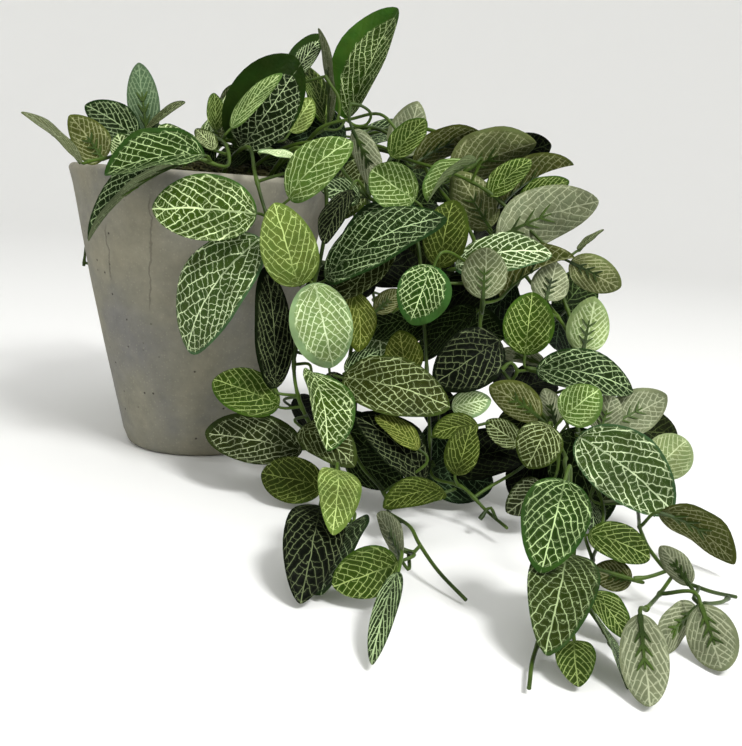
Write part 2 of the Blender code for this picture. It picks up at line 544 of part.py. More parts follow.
def tube_solid(centres, radius, sides=STEM_SIDES, blunt=False):
    """Give a round stem's closed mesh along its centre points."""
    direction = unit(centres[1] - centres[0])
    helper = np.array([1.0, 0.0, 0.0]) if abs(direction[0]) < 0.9 else np.array([0.0, 1.0, 0.0])
    across = unit(np.cross(direction, helper))
    rings = []
    for i, centre in enumerate(centres):
        if i == 0:
            heading = unit(centres[1] - centres[0])
        elif i == len(centres) - 1:
            heading = unit(centres[-1] - centres[-2])
        else:
            heading = unit(unit(centres[i] - centres[i - 1]) + unit(centres[i + 1] - centres[i]))
        across = unit(across - (across @ heading) * heading)
        upward = np.cross(heading, across)
        size = radius
        ring = []
        for k in range(sides):
            angle = -2.0 * math.pi * k / sides
            ring.append(centre + size * (math.cos(angle) * across + math.sin(angle) * upward))
        rings.append(ring)
    return loft(rings)


# Placing everything so that no two stems' parts touch
class Placed:
    """A placed shape with its box and search tree."""

    def __init__(self, owner, kind, points, faces):
        self.owner = owner
        self.kind = kind
        self.hidden = False
        self.low = points.min(axis=0)
        self.high = points.max(axis=0)
        self.tree = BVHTree.FromPolygons([tuple(point) for point in points], faces)

    def touches(self, other):
        if np.any(self.low > other.high) or np.any(other.low > self.high):
            return False
        return bool(self.tree.overlap(other.tree))


def inside_edge(px, py, edge):
    """Tell whether a point of the photograph lies inside an outline."""
    inside = False
    for i in range(len(edge)):
        x0, y0 = edge[i]
        x1, y1 = edge[(i + 1) % len(edge)]
        if (y0 > py) != (y1 > py) and px < x0 + (py - y0) / (y1 - y0) * (x1 - x0):
            inside = not inside
    return inside


def hidden_well(point):
    """Tell whether a point lies behind the pot or within the foliage's edge, as seen in the photograph."""
    px, py = picture_point(point)
    behind_pot = point[1] > 0.0 and 84.0 < px < 330.0 and 150.0 < py < 440.0
    return behind_pot or inside_edge(px, py, FOLIAGE_EDGE)


def move_along_sight(point, distance):
    """Move a point along its line of sight, toward the viewpoint where the distance is positive."""
    return point + unit(VIEW_POINT - point) * distance


def nearest_attachment(lines, base, axis):
    """Give the point on a stem's lines where a leaf's petiole starts."""
    wanted = base - axis * 6.0
    best = None
    for line in lines:
        for i in range(len(line) - 1):
            start, end = line[i], line[i + 1]
            if 0.5 * (start[2] + end[2]) < POT_HEIGHT and math.hypot(*start[:2]) < 58.0:
                continue
            span = end - start
            share = float(np.clip((wanted - start) @ span / (span @ span), 0.05, 0.95))
            point = start + share * span
            distance = np.linalg.norm(wanted - point)
            if best is None or distance < best[0]:
                best = (distance, point)
    return best[1]


def ring_points(radius, height, count):
    """Give points round a circle."""
    return [np.array([radius * math.cos(2 * math.pi * k / count), radius * math.sin(2 * math.pi * k / count),
                      height]) for k in range(count)]


def pot_proxy():
    """Give a simple closed shape just outside the pot and its filling, for keeping leaves clear."""
    spare = CLEARANCE
    levels = [(POT_BASE_RADIUS + spare, 0.0), (pot_outer_radius(50.0) + spare, 50.0),
              (pot_outer_radius(100.0) + spare, 100.0), (POT_RIM_RADIUS + spare, POT_HEIGHT - 4.0),
              (POT_RIM_RADIUS + spare, POT_HEIGHT + spare),
              (POT_RIM_RADIUS - POT_WALL - spare, POT_HEIGHT + spare),
              (POT_RIM_RADIUS - POT_WALL - 2.5 - spare, FILLING_TOP + spare)]
    rings = [list(reversed(ring_points(radius, height, 40))) for radius, height in levels]
    return loft(rings)


def stem_lines():
    """Give each stem's line from its hole on, with the stems bent clear of one another and of the pot."""
    lines = []
    for described in STEMS:
        hole_x, hole_y = described["hole"]
        start = np.array([hole_x, hole_y, FILLING_TOP - STEM_START_DEPTH])
        collar = np.array([hole_x, hole_y, FILLING_TOP + 7.0])
        lines.append(smooth_route([start, collar] + described["route"], FINE_STEP))
    for turn in range(80):
        worst = 0.0
        pushes = [np.zeros_like(line) for line in lines]
        for a in range(len(lines)):
            for b in range(a + 1, len(lines)):
                apart = lines[a][:, None, :] - lines[b][None, :, :]
                distance = np.linalg.norm(apart, axis=2)
                for i, j in zip(*np.nonzero(distance < STEM_SPACING)):
                    short = STEM_SPACING - distance[i, j]
                    worst = max(worst, short)
                    direction = apart[i, j] / max(distance[i, j], 1e-6)
                    pushes[a][i] += 0.3 * short * direction
                    pushes[b][j] -= 0.3 * short * direction
        for k, line in enumerate(lines):
            push = pushes[k]
            spread = push.copy()
            for _ in range(3):
                spread[1:-1] = 0.5 * spread[1:-1] + 0.25 * (spread[:-2] + spread[2:])
            line += np.where(np.abs(push) > np.abs(spread), push, spread)
            hole_x, hole_y = STEMS[k]["hole"]
            for i in range(len(line)):
                if i * FINE_STEP < STEM_START_DEPTH + 5.0:
                    line[i] = np.array([hole_x, hole_y, FILLING_TOP - STEM_START_DEPTH + i * FINE_STEP])
                    continue
                line[i] = clear_of_pot(line[i], STEM_RADIUS + 1.5)
                line[i][2] = max(line[i][2], STEM_RADIUS + FLOOR_CLEARANCE)
        if worst < 0.2:
            break
    print("stems bent clear in", turn + 1, "turns, still short by", round(worst, 2))
    return lines


def coarser(line, step):
    """Give fewer points along a line."""
    count = max(2, int(round((len(line) - 1) * FINE_STEP / step)))
    return np.array([line[int(round(k * (len(line) - 1) / count))] for k in range(count + 1)])


def lay_out():
    """Place every stem and leaf, and return for each stem its lines and its leaves' frames."""
    obstacles = [Placed("pot", "pot", *pot_proxy())]
    plants = []
    for described, fine in zip(STEMS, stem_lines()):
        main = coarser(fine, STEM_STEP)
        lines = [main]
        for twig in described["twigs"]:
            root = nearest_attachment([main], np.asarray(twig[0]), np.zeros(3))
            line = smooth_route([root] + [np.asarray(point) for point in twig[1:]], 6.0)
            line[:, 2] = np.maximum(line[:, 2], TWIG_RADIUS + FLOOR_CLEARANCE)
            lines.append(line)
        plants.append({"name": described["name"], "lines": lines, "frames": [], "described": described})
        for k, line in enumerate(lines):
            radius = STEM_RADIUS if k == 0 else TWIG_RADIUS
            proxy = Placed(described["name"], "stem", *tube_solid(line, radius + CLEARANCE))
            for other in obstacles:
                if other.owner != described["name"] and other.kind == "stem" and proxy.touches(other):
                    print("stems touch:", described["name"], other.owner)
                if other.kind == "pot" and proxy.touches(other) and k > 0:
                    print("twig touches the pot:", described["name"])
            obstacles.append(proxy)
    jobs = []
    for plant in plants:
        for described in plant["described"]["leaves"]:
            jobs.append((plant, described))
    jobs.sort(key=lambda job: 0.5 * (job[1]["base"][1] + job[1]["tip"][1]))
    dropped = 0
    moved = 0
    for plant, described in jobs:
        placed = place_leaf(plant, described, obstacles)
        if placed is None:
            dropped += 1
            px, py = picture_point(described["base"])
            print("no room for a leaf on", plant["name"], "at", round(px), round(py))
        elif placed > 4.0:
            moved += 1
    print("leaves read from the photograph:", len(jobs), "dropped", dropped, "moved more than 4 mm", moved)
    add_gap_leaves(plants, obstacles)
    add_fillers(plants, obstacles)
    return plants


def leaf_fits(plant, frame, obstacles, strict):
    """Tell whether a leaf is clear of all others, and give its search shapes."""
    attach = nearest_attachment(plant["lines"], frame["base"], frame["axis"])
    points, faces = leaf_solid(frame, attach, spare=CLEARANCE)
    lowest = points[:, 2].min()
    if lowest < FLOOR_CLEARANCE:
        frame["base"] = frame["base"] + np.array([0.0, 0.0, FLOOR_CLEARANCE - lowest])
        attach = nearest_attachment(plant["lines"], frame["base"], frame["axis"])
        points, faces = leaf_solid(frame, attach, spare=CLEARANCE)
    if points[:, 2].min() < FLOOR_CLEARANCE - 0.2:
        return None
    whole = Placed(plant["name"], "leaf", points, faces)
    blade = Placed(plant["name"], "blade", *leaf_solid(frame, attach, spare=CLEARANCE, blade_only=True))
    for other in obstacles:
        if other.owner != plant["name"]:
            if other.kind != "blade" and whole.touches(other):
                return None
        elif other.kind == "blade" or (other.kind == "stem" and strict):
            if blade.touches(other):
                return None
    frame["attach"] = attach
    whole.hidden = frame["hidden"]
    return whole, blade


def place_leaf(plant, described, obstacles):
    """Place one leaf where it is seen, or as near along its line of sight as there is room."""
    shifts = [0.0]
    for k in range(1, 13):
        shifts += [-2.5 * k, 2.5 * k]
    for strict in (True, False):
        for size in (1.0, 0.9):
            for lean in (0.0, 8.0, -8.0):
                for shift in shifts:
                    trial = dict(described)
                    trial["base"] = move_along_sight(np.asarray(described["base"]), shift)
                    tip = move_along_sight(np.asarray(described["tip"]), shift + lean)
                    trial["tip"] = trial["base"] + (tip - trial["base"]) * size
                    if trial["tip"][2] < 1.2 or trial["base"][2] < 1.2:
                        continue
                    frame = leaf_frame(trial)
                    found = leaf_fits(plant, frame, obstacles, strict)
                    if found:
                        frame["tone"] = described["tone"]
                        frame["face"] = described["face"]
                        plant["frames"].append(frame)
                        obstacles += list(found)
                        return abs(shift)
    return None


def add_fillers(plants, obstacles):
    """Add the leaves that the photograph doesn't show, by rule, at stations along each stem."""
    draw = random.Random(20)
    added = 0
    missed = 0
    for plant in plants:
        main = plant["lines"][0]
        usable = [i for i in range(1, len(main))
                  if main[i][2] > POT_HEIGHT or math.hypot(*main[i][:2]) > 60.0]
        for share in plant["described"]["fillers"]:
            i = usable[min(len(usable) - 1, int(share * (len(usable) - 1)))]
            tangent = unit(main[i] - main[i - 1])
            done = False
            for attempt in range(60):
                out = np.array([draw.gauss(0.0, 1.0), draw.gauss(0.0, 1.0), draw.gauss(0.1, 0.7)])
                if not plant["name"].startswith("leafy_stem_back"):
                    out = out + np.array([0.0, 1.0, 0.0])
                out = unit(out - 0.7 * (out @ tangent) * tangent)
                axis = unit(out + 0.35 * tangent)
                length = draw.uniform(34.0, 52.0)
                base = main[i] + out * draw.uniform(7.0, 12.0)
                tip = base + axis * length
                upward = unit(np.array([draw.gauss(0.0, 0.35), draw.gauss(-0.25, 0.35), 1.0]))
                form = draw.choice(["drooped", "drooped", "cupped", "lifted", "flat"])
                if abs(upward @ axis) > 0.9:
                    continue
                trial = {"base": base, "tip": tip, "normal": upward, "ratio": draw.uniform(0.56, 0.68),
                         "form": form, "face": "top"}
                frame = leaf_frame(trial)
                corners = [base, tip] + [blade_point(frame, s, t) for s, t in EDGE_PLACES]
                if not all(hidden_well(corner) for corner in corners):
                    continue
                if min(corner[2] for corner in corners) < 2.0 or not stays_behind(frame, obstacles):
                    continue
                found = leaf_fits(plant, frame, obstacles, True)
                if found:
                    frame["tone"] = draw.choice(["dark", "black_green", "blue_green", "green", "olive"])
                    frame["face"] = "top"
                    plant["frames"].append(frame)
                    obstacles += list(found)
                    done = True
                    break
            added += done
            missed += not done
    print("leaves added by rule:", added, "without room", missed)


def stays_behind(frame, obstacles):
    """Tell whether a leaf hides no leaf read from the photograph, nor the pot's front."""
    for s in (0.15, 0.5, 0.85):
        for t in (-0.9, 0.0, 0.9):
            point = blade_point(frame, s, t)
            ray = unit(point - VIEW_POINT)
            reach = np.linalg.norm(point - VIEW_POINT)
            for other in obstacles:
                if other.kind not in ("leaf", "pot") or other.hidden:
                    continue
                distance = other.tree.ray_cast(tuple(VIEW_POINT), tuple(ray))[3]
                if distance is not None and distance > reach:
                    return False
    return True


def line_of_sight_is_open(px, py, obstacles):
    """Tell whether nothing is met along the line of sight through a point of the photograph."""
    ray = unit(sight(px, py))
    for other in obstacles:
        if other.kind != "blade" and other.tree.ray_cast(tuple(VIEW_POINT), tuple(ray))[0] is not None:
            return False
    return True


def add_gap_leaves(plants, obstacles):
    """Add darker leaves behind, wherever the photograph shows foliage and the line of sight is open."""
    draw = random.Random(7)
    spots = []
    for column in range(100, 680, GAP_LEAF_SPACING):
        for row in range(60, 600, GAP_LEAF_SPACING):
            spots.append((column + draw.uniform(-8, 8), row + draw.uniform(-8, 8)))
    draw.shuffle(spots)
    added = 0
    missed = 0
    for px, py in spots:
        if not inside_edge(px, py, DENSE_EDGE):
            continue
        if any(math.hypot(px - x, py - y) < radius for x, y, radius in OPEN_SPOTS):
            continue
        if not line_of_sight_is_open(px, py, obstacles):
            continue
        if place_gap_leaf(plants, px, py, obstacles, draw):
            added += 1
        else:
            missed += 1
    print("leaves added behind open lines of sight:", added, "without room", missed)


def place_gap_leaf(plants, px, py, obstacles, draw):
    """Place one leaf across an open line of sight, on the stem nearest to it."""
    choices = []
    for front in range(-30, 121, 10):
        middle = at(px, py, front)
        if middle[2] < 14.0 or math.hypot(*middle[:2]) < 74.0 and middle[2] < 160.0:
            continue
        for plant in plants:
            attach = nearest_attachment(plant["lines"], middle, np.zeros(3))
            distance = np.linalg.norm(attach - middle)
            if 14.0 < distance < 62.0:
                choices.append((abs(distance - 30.0), front, plant, middle, attach))
    choices.sort(key=lambda choice: choice[:2])
    for _, _, plant, middle, attach in choices[:50]:
        toward = unit(VIEW_POINT - middle)
        for attempt in range(8):
            axis = middle - attach
            axis = axis - 0.75 * (axis @ toward) * toward
            axis = unit(unit(axis) + 0.35 * np.array([draw.gauss(0, 1), draw.gauss(0, 1), draw.gauss(0, 1)]))
            length = draw.uniform(30.0, 52.0)
            base = middle - 0.5 * length * axis
            reach = np.linalg.norm(base - attach)
            if reach > 34.0 or reach < 3.0:
                continue
            upward = unit(toward + np.array([draw.gauss(0, 0.35), 0.0, 0.45 + draw.gauss(0, 0.3)]))
            if abs(upward @ axis) > 0.85:
                continue
            trial = {"base": base, "tip": base + axis * length, "normal": upward,
                     "ratio": draw.uniform(0.58, 0.68), "form": draw.choice(["drooped", "cupped", "flat"]),
                     "face": "top"}
            frame = leaf_frame(trial)
            corners = [trial["tip"]] + [blade_point(frame, s, t) for s, t in EDGE_PLACES]
            if not all(hidden_well(corner) for corner in corners) or not stays_behind(frame, obstacles):
                continue
            found = leaf_fits(plant, frame, obstacles, True)
            if found:
                frame["tone"] = draw.choice(["deep_green", "deep_black", "deep_black", "deep_blue", "deep_olive"])
                frame["face"] = "top"
                plant["frames"].append(frame)
                obstacles += list(found)
                return True
    return False


# Blender objects
def clear_scene():
    """Remove every object of the scene."""
    for existing in list(bpy.data.objects):
        bpy.data.objects.remove(existing, do_unlink=True)


def make_material(name, colour, roughness, metallic=0.0):
    """Make a Principled material."""
    material = bpy.data.materials.new(name)
    material.use_nodes = True
    shader = material.node_tree.nodes["Principled BSDF"]
    shader.inputs["Base Color"].default_value = (*colour, 1.0)
    shader.inputs["Roughness"].default_value = roughness
    shader.inputs["Metallic"].default_value = metallic
    return material


def make_object(name, points, faces, material):
    """Make an object from points in millimetres."""
    mesh = bpy.data.meshes.new(name)
    mesh.from_pydata([tuple(np.asarray(point) * MM) for point in points], [], [tuple(face) for face in faces])
    mesh.validate()
    mesh.update()
    mesh.materials.append(material)
    made = bpy.data.objects.new(name, mesh)
    bpy.context.scene.collection.objects.link(made)
    return made


def turned_solid(name, profile, segments, material):
    """Turn a closed profile of (radius, height) points, both ends on the axis, into a solid."""
    points = []
    faces = []
    rings = []
    for radius, height in profile:
        if radius < 1e-6:
            rings.append([len(points)])
            points.append(np.array([0.0, 0.0, height]))
        else:
            rings.append(list(range(len(points), len(points) + segments)))
            points += ring_points(radius, height, segments)
    for lower, upper in zip(rings[:-1], rings[1:]):
        for k in range(segments):
            n = (k + 1) % segments
            if len(lower) == 1:
                faces.append((lower[0], upper[n], upper[k]))
            elif len(upper) == 1:
                faces.append((lower[k], lower[n], upper[0]))
            else:
                faces.append((lower[k], lower[n], upper[n], upper[k]))
    return make_object(name, points, faces, material)


def arc(centre, radius, start, end, steps):
    """Give points on an arc of a profile, with angles in degrees."""
    points = []
    for k in range(steps + 1):
        angle = math.radians(start + (end - start) * k / steps)
        points.append((centre[0] + radius * math.cos(angle), centre[1] + radius * math.sin(angle)))
    return points


def inner_radius(height):
    """Give the radius of the pot's inside at a height."""
    return pot_outer_radius(height) - POT_WALL


def build_pot(material):
    """Turn the tapered pot with its rounded lip and base edge."""
    profile = [(0.0, 0.0)]
    edge = POT_BASE_EDGE_RADIUS
    profile += arc((POT_BASE_RADIUS - edge, edge), edge, -90.0, -14.0, 2)
    for height in (50.0, 100.0):
        profile.append((pot_outer_radius(height), height))
    lip = POT_LIP_RADIUS
    profile += arc((POT_RIM_RADIUS - lip, POT_HEIGHT - lip), lip, 0.0, 180.0, 4)
    profile.append((inner_radius(75.0), 75.0))
    profile += [(inner_radius(POT_FLOOR), POT_FLOOR), (0.0, POT_FLOOR)]
    return turned_solid("pot", profile, POT_SEGMENTS, material)


def build_filling(material):
    """Turn the block that fills the pot, and cut a plain hole in it for each stem."""
    bottom = POT_FLOOR + FILLING_GAP
    gap = FILLING_GAP + 0.35
    profile = [(0.0, bottom), (inner_radius(bottom) - gap, bottom), (inner_radius(50.0) - gap, 50.0),
               (inner_radius(100.0) - gap, 100.0), (inner_radius(FILLING_TOP) - gap, FILLING_TOP - 2.0),
               (inner_radius(FILLING_TOP) - gap - 2.0, FILLING_TOP), (0.0, FILLING_TOP)]
    filling = turned_solid("filling", profile, FILLING_SEGMENTS, material)
    cutters = bpy.data.collections.new("stem_holes")
    bpy.context.scene.collection.children.link(cutters)
    for described in STEMS:
        hole_x, hole_y = described["hole"]
        rings = []
        for height in (FILLING_TOP - HOLE_DEPTH, FILLING_TOP + 5.0):
            ring = ring_points(HOLE_RADIUS, height, 6)
            rings.append([point + np.array([hole_x, hole_y, 0.0]) for point in reversed(ring)])
        points, faces = loft(rings)
        cutter = make_object("hole_" + described["name"], points, faces, material)
        cutter.hide_render = True
        cutter.display_type = "WIRE"
        bpy.context.scene.collection.objects.unlink(cutter)
        cutters.objects.link(cutter)
    apply_boolean(filling, cutters, "DIFFERENCE")
    return filling


def closed_without_seams(mesh):
    """Tell whether every edge of a mesh has two faces."""
    shape = bmesh.new()
    shape.from_mesh(mesh)
    closed = all(len(edge.link_faces) == 2 for edge in shape.edges)
    shape.free()
    return closed


def drop_slivers(mesh):
    """Remove the loose slivers that a Boolean can leave beside the body."""
    shape = bmesh.new()
    shape.from_mesh(mesh)
    left = set(shape.faces)
    bodies = []
    while left:
        body = [left.pop()]
        for face in body:
            for edge in face.edges:
                for neighbour in edge.link_faces:
                    if neighbour in left:
                        left.remove(neighbour)
                        body.append(neighbour)
        bodies.append(body)
    bodies.sort(key=len)
    for body in bodies[:-1]:
        print("loose sliver of", len(body), "faces removed from", mesh.name)
        bmesh.ops.delete(shape, geom=body, context="FACES")
    shape.to_mesh(mesh)
    shape.free()


def apply_boolean(made, others, operation):
    """Apply one Boolean with a collection's objects and remove them."""
    modifier = made.modifiers.new("join", "BOOLEAN")
    modifier.operation = operation
    modifier.operand_type = "COLLECTION"
    modifier.collection = others
    for solver in ("EXACT", "MANIFOLD"):
        modifier.solver = solver
        bpy.context.view_layer.update()
        evaluated = made.evaluated_get(bpy.context.evaluated_depsgraph_get())
        joined = bpy.data.meshes.new_from_object(evaluated)
        if closed_without_seams(joined):
            break
        print(made.name, "isn't closed after", solver)
    made.modifiers.clear()
    old = made.data
    made.data = joined
    joined.name = made.name
    drop_slivers(joined)
    bpy.data.meshes.remove(old)
    for other in list(others.objects):
        bpy.data.objects.remove(other, do_unlink=True)
    bpy.data.collections.remove(others)


def build_stem(plant, material):
    """Join a stem, its twigs and its leaves into one solid."""
    made = make_object(plant["name"], *tube_solid(plant["lines"][0], STEM_RADIUS), material)
    others = bpy.data.collections.new("growth_of_" + plant["name"])
    bpy.context.scene.collection.children.link(others)
    shapes = [tube_solid(line, TWIG_RADIUS, sides=4) for line in plant["lines"][1:]]
    shapes += [leaf_solid(frame, frame["attach"]) for frame in plant["frames"]]
    for number, (points, faces) in enumerate(shapes):
        growth = make_object(f"growth_{number:02d}", points, faces, material)
        bpy.context.scene.collection.objects.unlink(growth)
        others.objects.link(growth)
    apply_boolean(made, others, "UNION")
    return made


def shade(made):
    """Shade a round piece smooth with its edges kept."""
    made.data.shade_smooth()
    made.data.set_sharp_from_angle(angle=math.radians(35.0))


def build():
    """Build the whole object."""
    clear_scene()
    cement = make_material("grey_cement", (0.42, 0.40, 0.36), 0.9)
    foam = make_material("dark_filling", (0.03, 0.035, 0.02), 0.95)
    foliage = make_material("printed_leaf_fabric", (0.07, 0.16, 0.05), 0.6)
    shade(build_pot(cement))
    shade(build_filling(foam))
    plants = lay_out()
    total = 0
    for plant in plants:
        made = build_stem(plant, foliage)
        shade(made)
        count = sum(len(polygon.vertices) - 2 for polygon in made.data.polygons)
        total += count
        print(plant["name"], "leaves", len(plant["frames"]), "triangles", count)
    print("triangles in all leafy stems:", total)


build()
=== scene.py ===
# %% [markdown]
# # An artificial nerve plant that spills from a cement pot
#
# The real thing is a bunch of wired plastic stems, pushed into the block that fills a tapered cement pot.
# Each stem carries leaves cut from printed fabric. The solids of the same object are already packed, and
# this script dresses them: it lays the stems and leaves out by the rules that the solids follow, grows fine
# leaves there with Geometry Nodes, and gives each piece the finish of its real material.

import itertools
import json
import math
import random

import bpy
import numpy as np
from mathutils import Matrix, Vector, noise
from mathutils.bvhtree import BVHTree

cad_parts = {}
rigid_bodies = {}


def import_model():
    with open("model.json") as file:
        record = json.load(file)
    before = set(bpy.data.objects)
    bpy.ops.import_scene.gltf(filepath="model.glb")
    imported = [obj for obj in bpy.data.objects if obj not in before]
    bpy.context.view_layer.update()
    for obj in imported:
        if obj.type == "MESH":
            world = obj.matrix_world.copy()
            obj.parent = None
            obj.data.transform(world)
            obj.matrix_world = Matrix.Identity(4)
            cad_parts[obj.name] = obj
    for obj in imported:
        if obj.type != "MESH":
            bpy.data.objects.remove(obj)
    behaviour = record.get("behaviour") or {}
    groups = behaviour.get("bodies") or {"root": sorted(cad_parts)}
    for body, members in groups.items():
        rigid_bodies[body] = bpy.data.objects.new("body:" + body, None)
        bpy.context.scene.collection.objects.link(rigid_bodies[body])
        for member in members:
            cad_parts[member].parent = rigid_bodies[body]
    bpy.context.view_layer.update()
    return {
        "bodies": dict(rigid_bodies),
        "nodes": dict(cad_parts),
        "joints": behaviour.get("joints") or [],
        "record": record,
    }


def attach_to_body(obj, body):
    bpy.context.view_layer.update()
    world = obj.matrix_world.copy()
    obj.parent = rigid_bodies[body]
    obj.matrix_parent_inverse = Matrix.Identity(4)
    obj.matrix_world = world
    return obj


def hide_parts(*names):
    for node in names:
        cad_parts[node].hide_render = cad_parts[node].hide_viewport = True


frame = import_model()

# %% [markdown]
# ## Sizes
#
# Lengths are in millimetres, with the origin at the middle of the pot's base and the photographed side
# facing -Y. They become metres where a mesh is made. These are the solids' own sizes, so that the fine
# leaves lie where the plain ones lie.

# %% Real sizes in millimetres
MM = 0.001
POT_HEIGHT = 150.0
POT_RIM_RADIUS = 70.0
POT_BASE_RADIUS = 36.5
POT_WALL = 6.0
POT_FLOOR = 8.0
POT_LIP_RADIUS = 3.0
POT_BASE_EDGE_RADIUS = 4.0
POT_SIDE_SWELL = 1.2
FILLING_TOP = 137.0
STEM_START_DEPTH = 25.0
BLADE_THICKNESS = 0.8
PETIOLE_HALF_WIDTH = 0.85
PETIOLE_HALF_THICKNESS = 0.65
PETIOLE_BEND_LENGTH = 12.0
PETIOLE_SHORTEST = 2.5
PETIOLE_BEND_SHARE = 0.25
PETIOLE_BEND_LIMIT = 4.0
STEM_RADIUS = 1.15
TWIG_RADIUS = 0.75
STEM_SIDES = 5
STEM_STEP = 17.0
FINE_STEP = 3.0
STEM_SPACING = 6.5
CLEARANCE = 0.35
FLOOR_CLEARANCE = 0.5
BLADE_ROWS = (0.12, 0.45, 0.80)
HIDDEN_BLADE_ROWS = (0.25, 0.70)
LEAF_WIDTH_RATIO = 0.64
EDGE_PLACES = ((0.45, 1.0), (0.45, -1.0), (0.3, 0.0), (0.7, 0.0))
print("the pot is", POT_HEIGHT, "mm tall and", 2 * POT_RIM_RADIUS, "mm wide at the rim")

# %% [markdown]
# ## The photograph's viewpoint
#
# The pot's outline gives the viewpoint: its place, its downward pitch and a slight roll. A point that the
# photograph shows lies somewhere on its line of sight, and how far along is judged from what covers what.
# So each point below is given by where it is seen and by its distance in front of the pot's axis, or by its
# height above the surface that the pot stands on.

# %% Viewpoint and lines of sight
PHOTO_CENTRE = np.array([371.0, 373.0])
PHOTO_FOCAL = 1000.0
VIEW_POINT = np.array([98.5, -551.0, 150.0])
PHOTO_WIDTH = 742.0
VIEW_PITCH = math.radians(10.65)
VIEW_ROLL = math.radians(-4.35)
LOWEST_SEEN = 2.0


def unit(vector):
    """Give a vector's direction."""
    return vector / np.linalg.norm(vector)


def view_axes():
    """Give the viewpoint's right, up and forward directions."""
    right = np.array([1.0, 0.0, 0.0])
    forward = np.array([0.0, math.cos(VIEW_PITCH), -math.sin(VIEW_PITCH)])
    up = np.array([0.0, math.sin(VIEW_PITCH), math.cos(VIEW_PITCH)])
    return right, up, forward


def sight(px, py):
    """Give the direction from the viewpoint through a point of the photograph."""
    right, up, forward = view_axes()
    across = (px - PHOTO_CENTRE[0]) / PHOTO_FOCAL
    raised = (PHOTO_CENTRE[1] - py) / PHOTO_FOCAL
    turned_across = across * math.cos(VIEW_ROLL) + raised * math.sin(VIEW_ROLL)
    turned_raised = raised * math.cos(VIEW_ROLL) - across * math.sin(VIEW_ROLL)
    return forward + turned_across * right + turned_raised * up


def picture_point(point):
    """Give where a point of the object is seen in the photograph."""
    right, up, forward = view_axes()
    offset = np.asarray(point) - VIEW_POINT
    depth = offset @ forward
    across = offset @ right / depth
    raised = offset @ up / depth
    px = PHOTO_CENTRE[0] + PHOTO_FOCAL * (across * math.cos(VIEW_ROLL) - raised * math.sin(VIEW_ROLL))
    py = PHOTO_CENTRE[1] - PHOTO_FOCAL * (across * math.sin(VIEW_ROLL) + raised * math.cos(VIEW_ROLL))
    return px, py


def low(px, py, height):
    """Take a seen point at a height above the surface the pot stands on."""
    ray = sight(px, py)
    return VIEW_POINT + ray * ((height - VIEW_POINT[2]) / ray[2])


def at(px, py, front):
    """Take a seen point at a distance in front of the pot's axis, but not below the surface."""
    ray = sight(px, py)
    point = VIEW_POINT + ray * ((-front - VIEW_POINT[1]) / ray[1])
    return low(px, py, LOWEST_SEEN) if point[2] < LOWEST_SEEN else point


print("viewpoint:", VIEW_POINT, "mm")

# %% [markdown]
# ## The leafy stems
#
# A leaf is described by its base and its tip, by how wide it is seen, by the face it shows, by how it is
# bent and by its dye shade. A stem has the hole it stands in, its route, its leaves, any bare twigs, and
# stations for further leaves, which the photograph hides. Describing the plant in words and points rather
# than as one big mesh keeps each leaf easy to move.

# %% Bends, and how a leaf and a stem are described
# Each bend is an arch as a share of the length, and a fold and a cup as shares of the half width
FORMS = {
    "flat": (0.04, 0.06, 0.04),
    "drooped": (0.13, 0.05, 0.08),
    "lifted": (-0.08, 0.10, 0.08),
    "cupped": (0.07, 0.10, 0.30),
    "folded": (0.10, 0.62, 0.0),
}


def leaf(base, tip, seen, tone, form="drooped", face="top", ratio=LEAF_WIDTH_RATIO):
    """Describe one leaf by its base, tip, seen width in picture points, shade, bend and seen face."""
    return dict(base=base, tip=tip, seen=seen, tone=tone, form=form, face=face, ratio=ratio)


def back_leaf(base, tip, seen, tone, form="drooped", ratio=LEAF_WIDTH_RATIO):
    """Describe one leaf that shows its back."""
    return leaf(base, tip, seen, tone, form, "under", ratio)


def stem(name, hole, route, leaves, twigs=(), fillers=()):
    """Describe one leafy stem by its hole in the filling, its route, leaves, bare twigs and fillers."""
    return {"name": name, "hole": hole, "route": route, "leaves": leaves, "twigs": list(twigs),
            "fillers": list(fillers)}


print("bends:", ", ".join(FORMS))

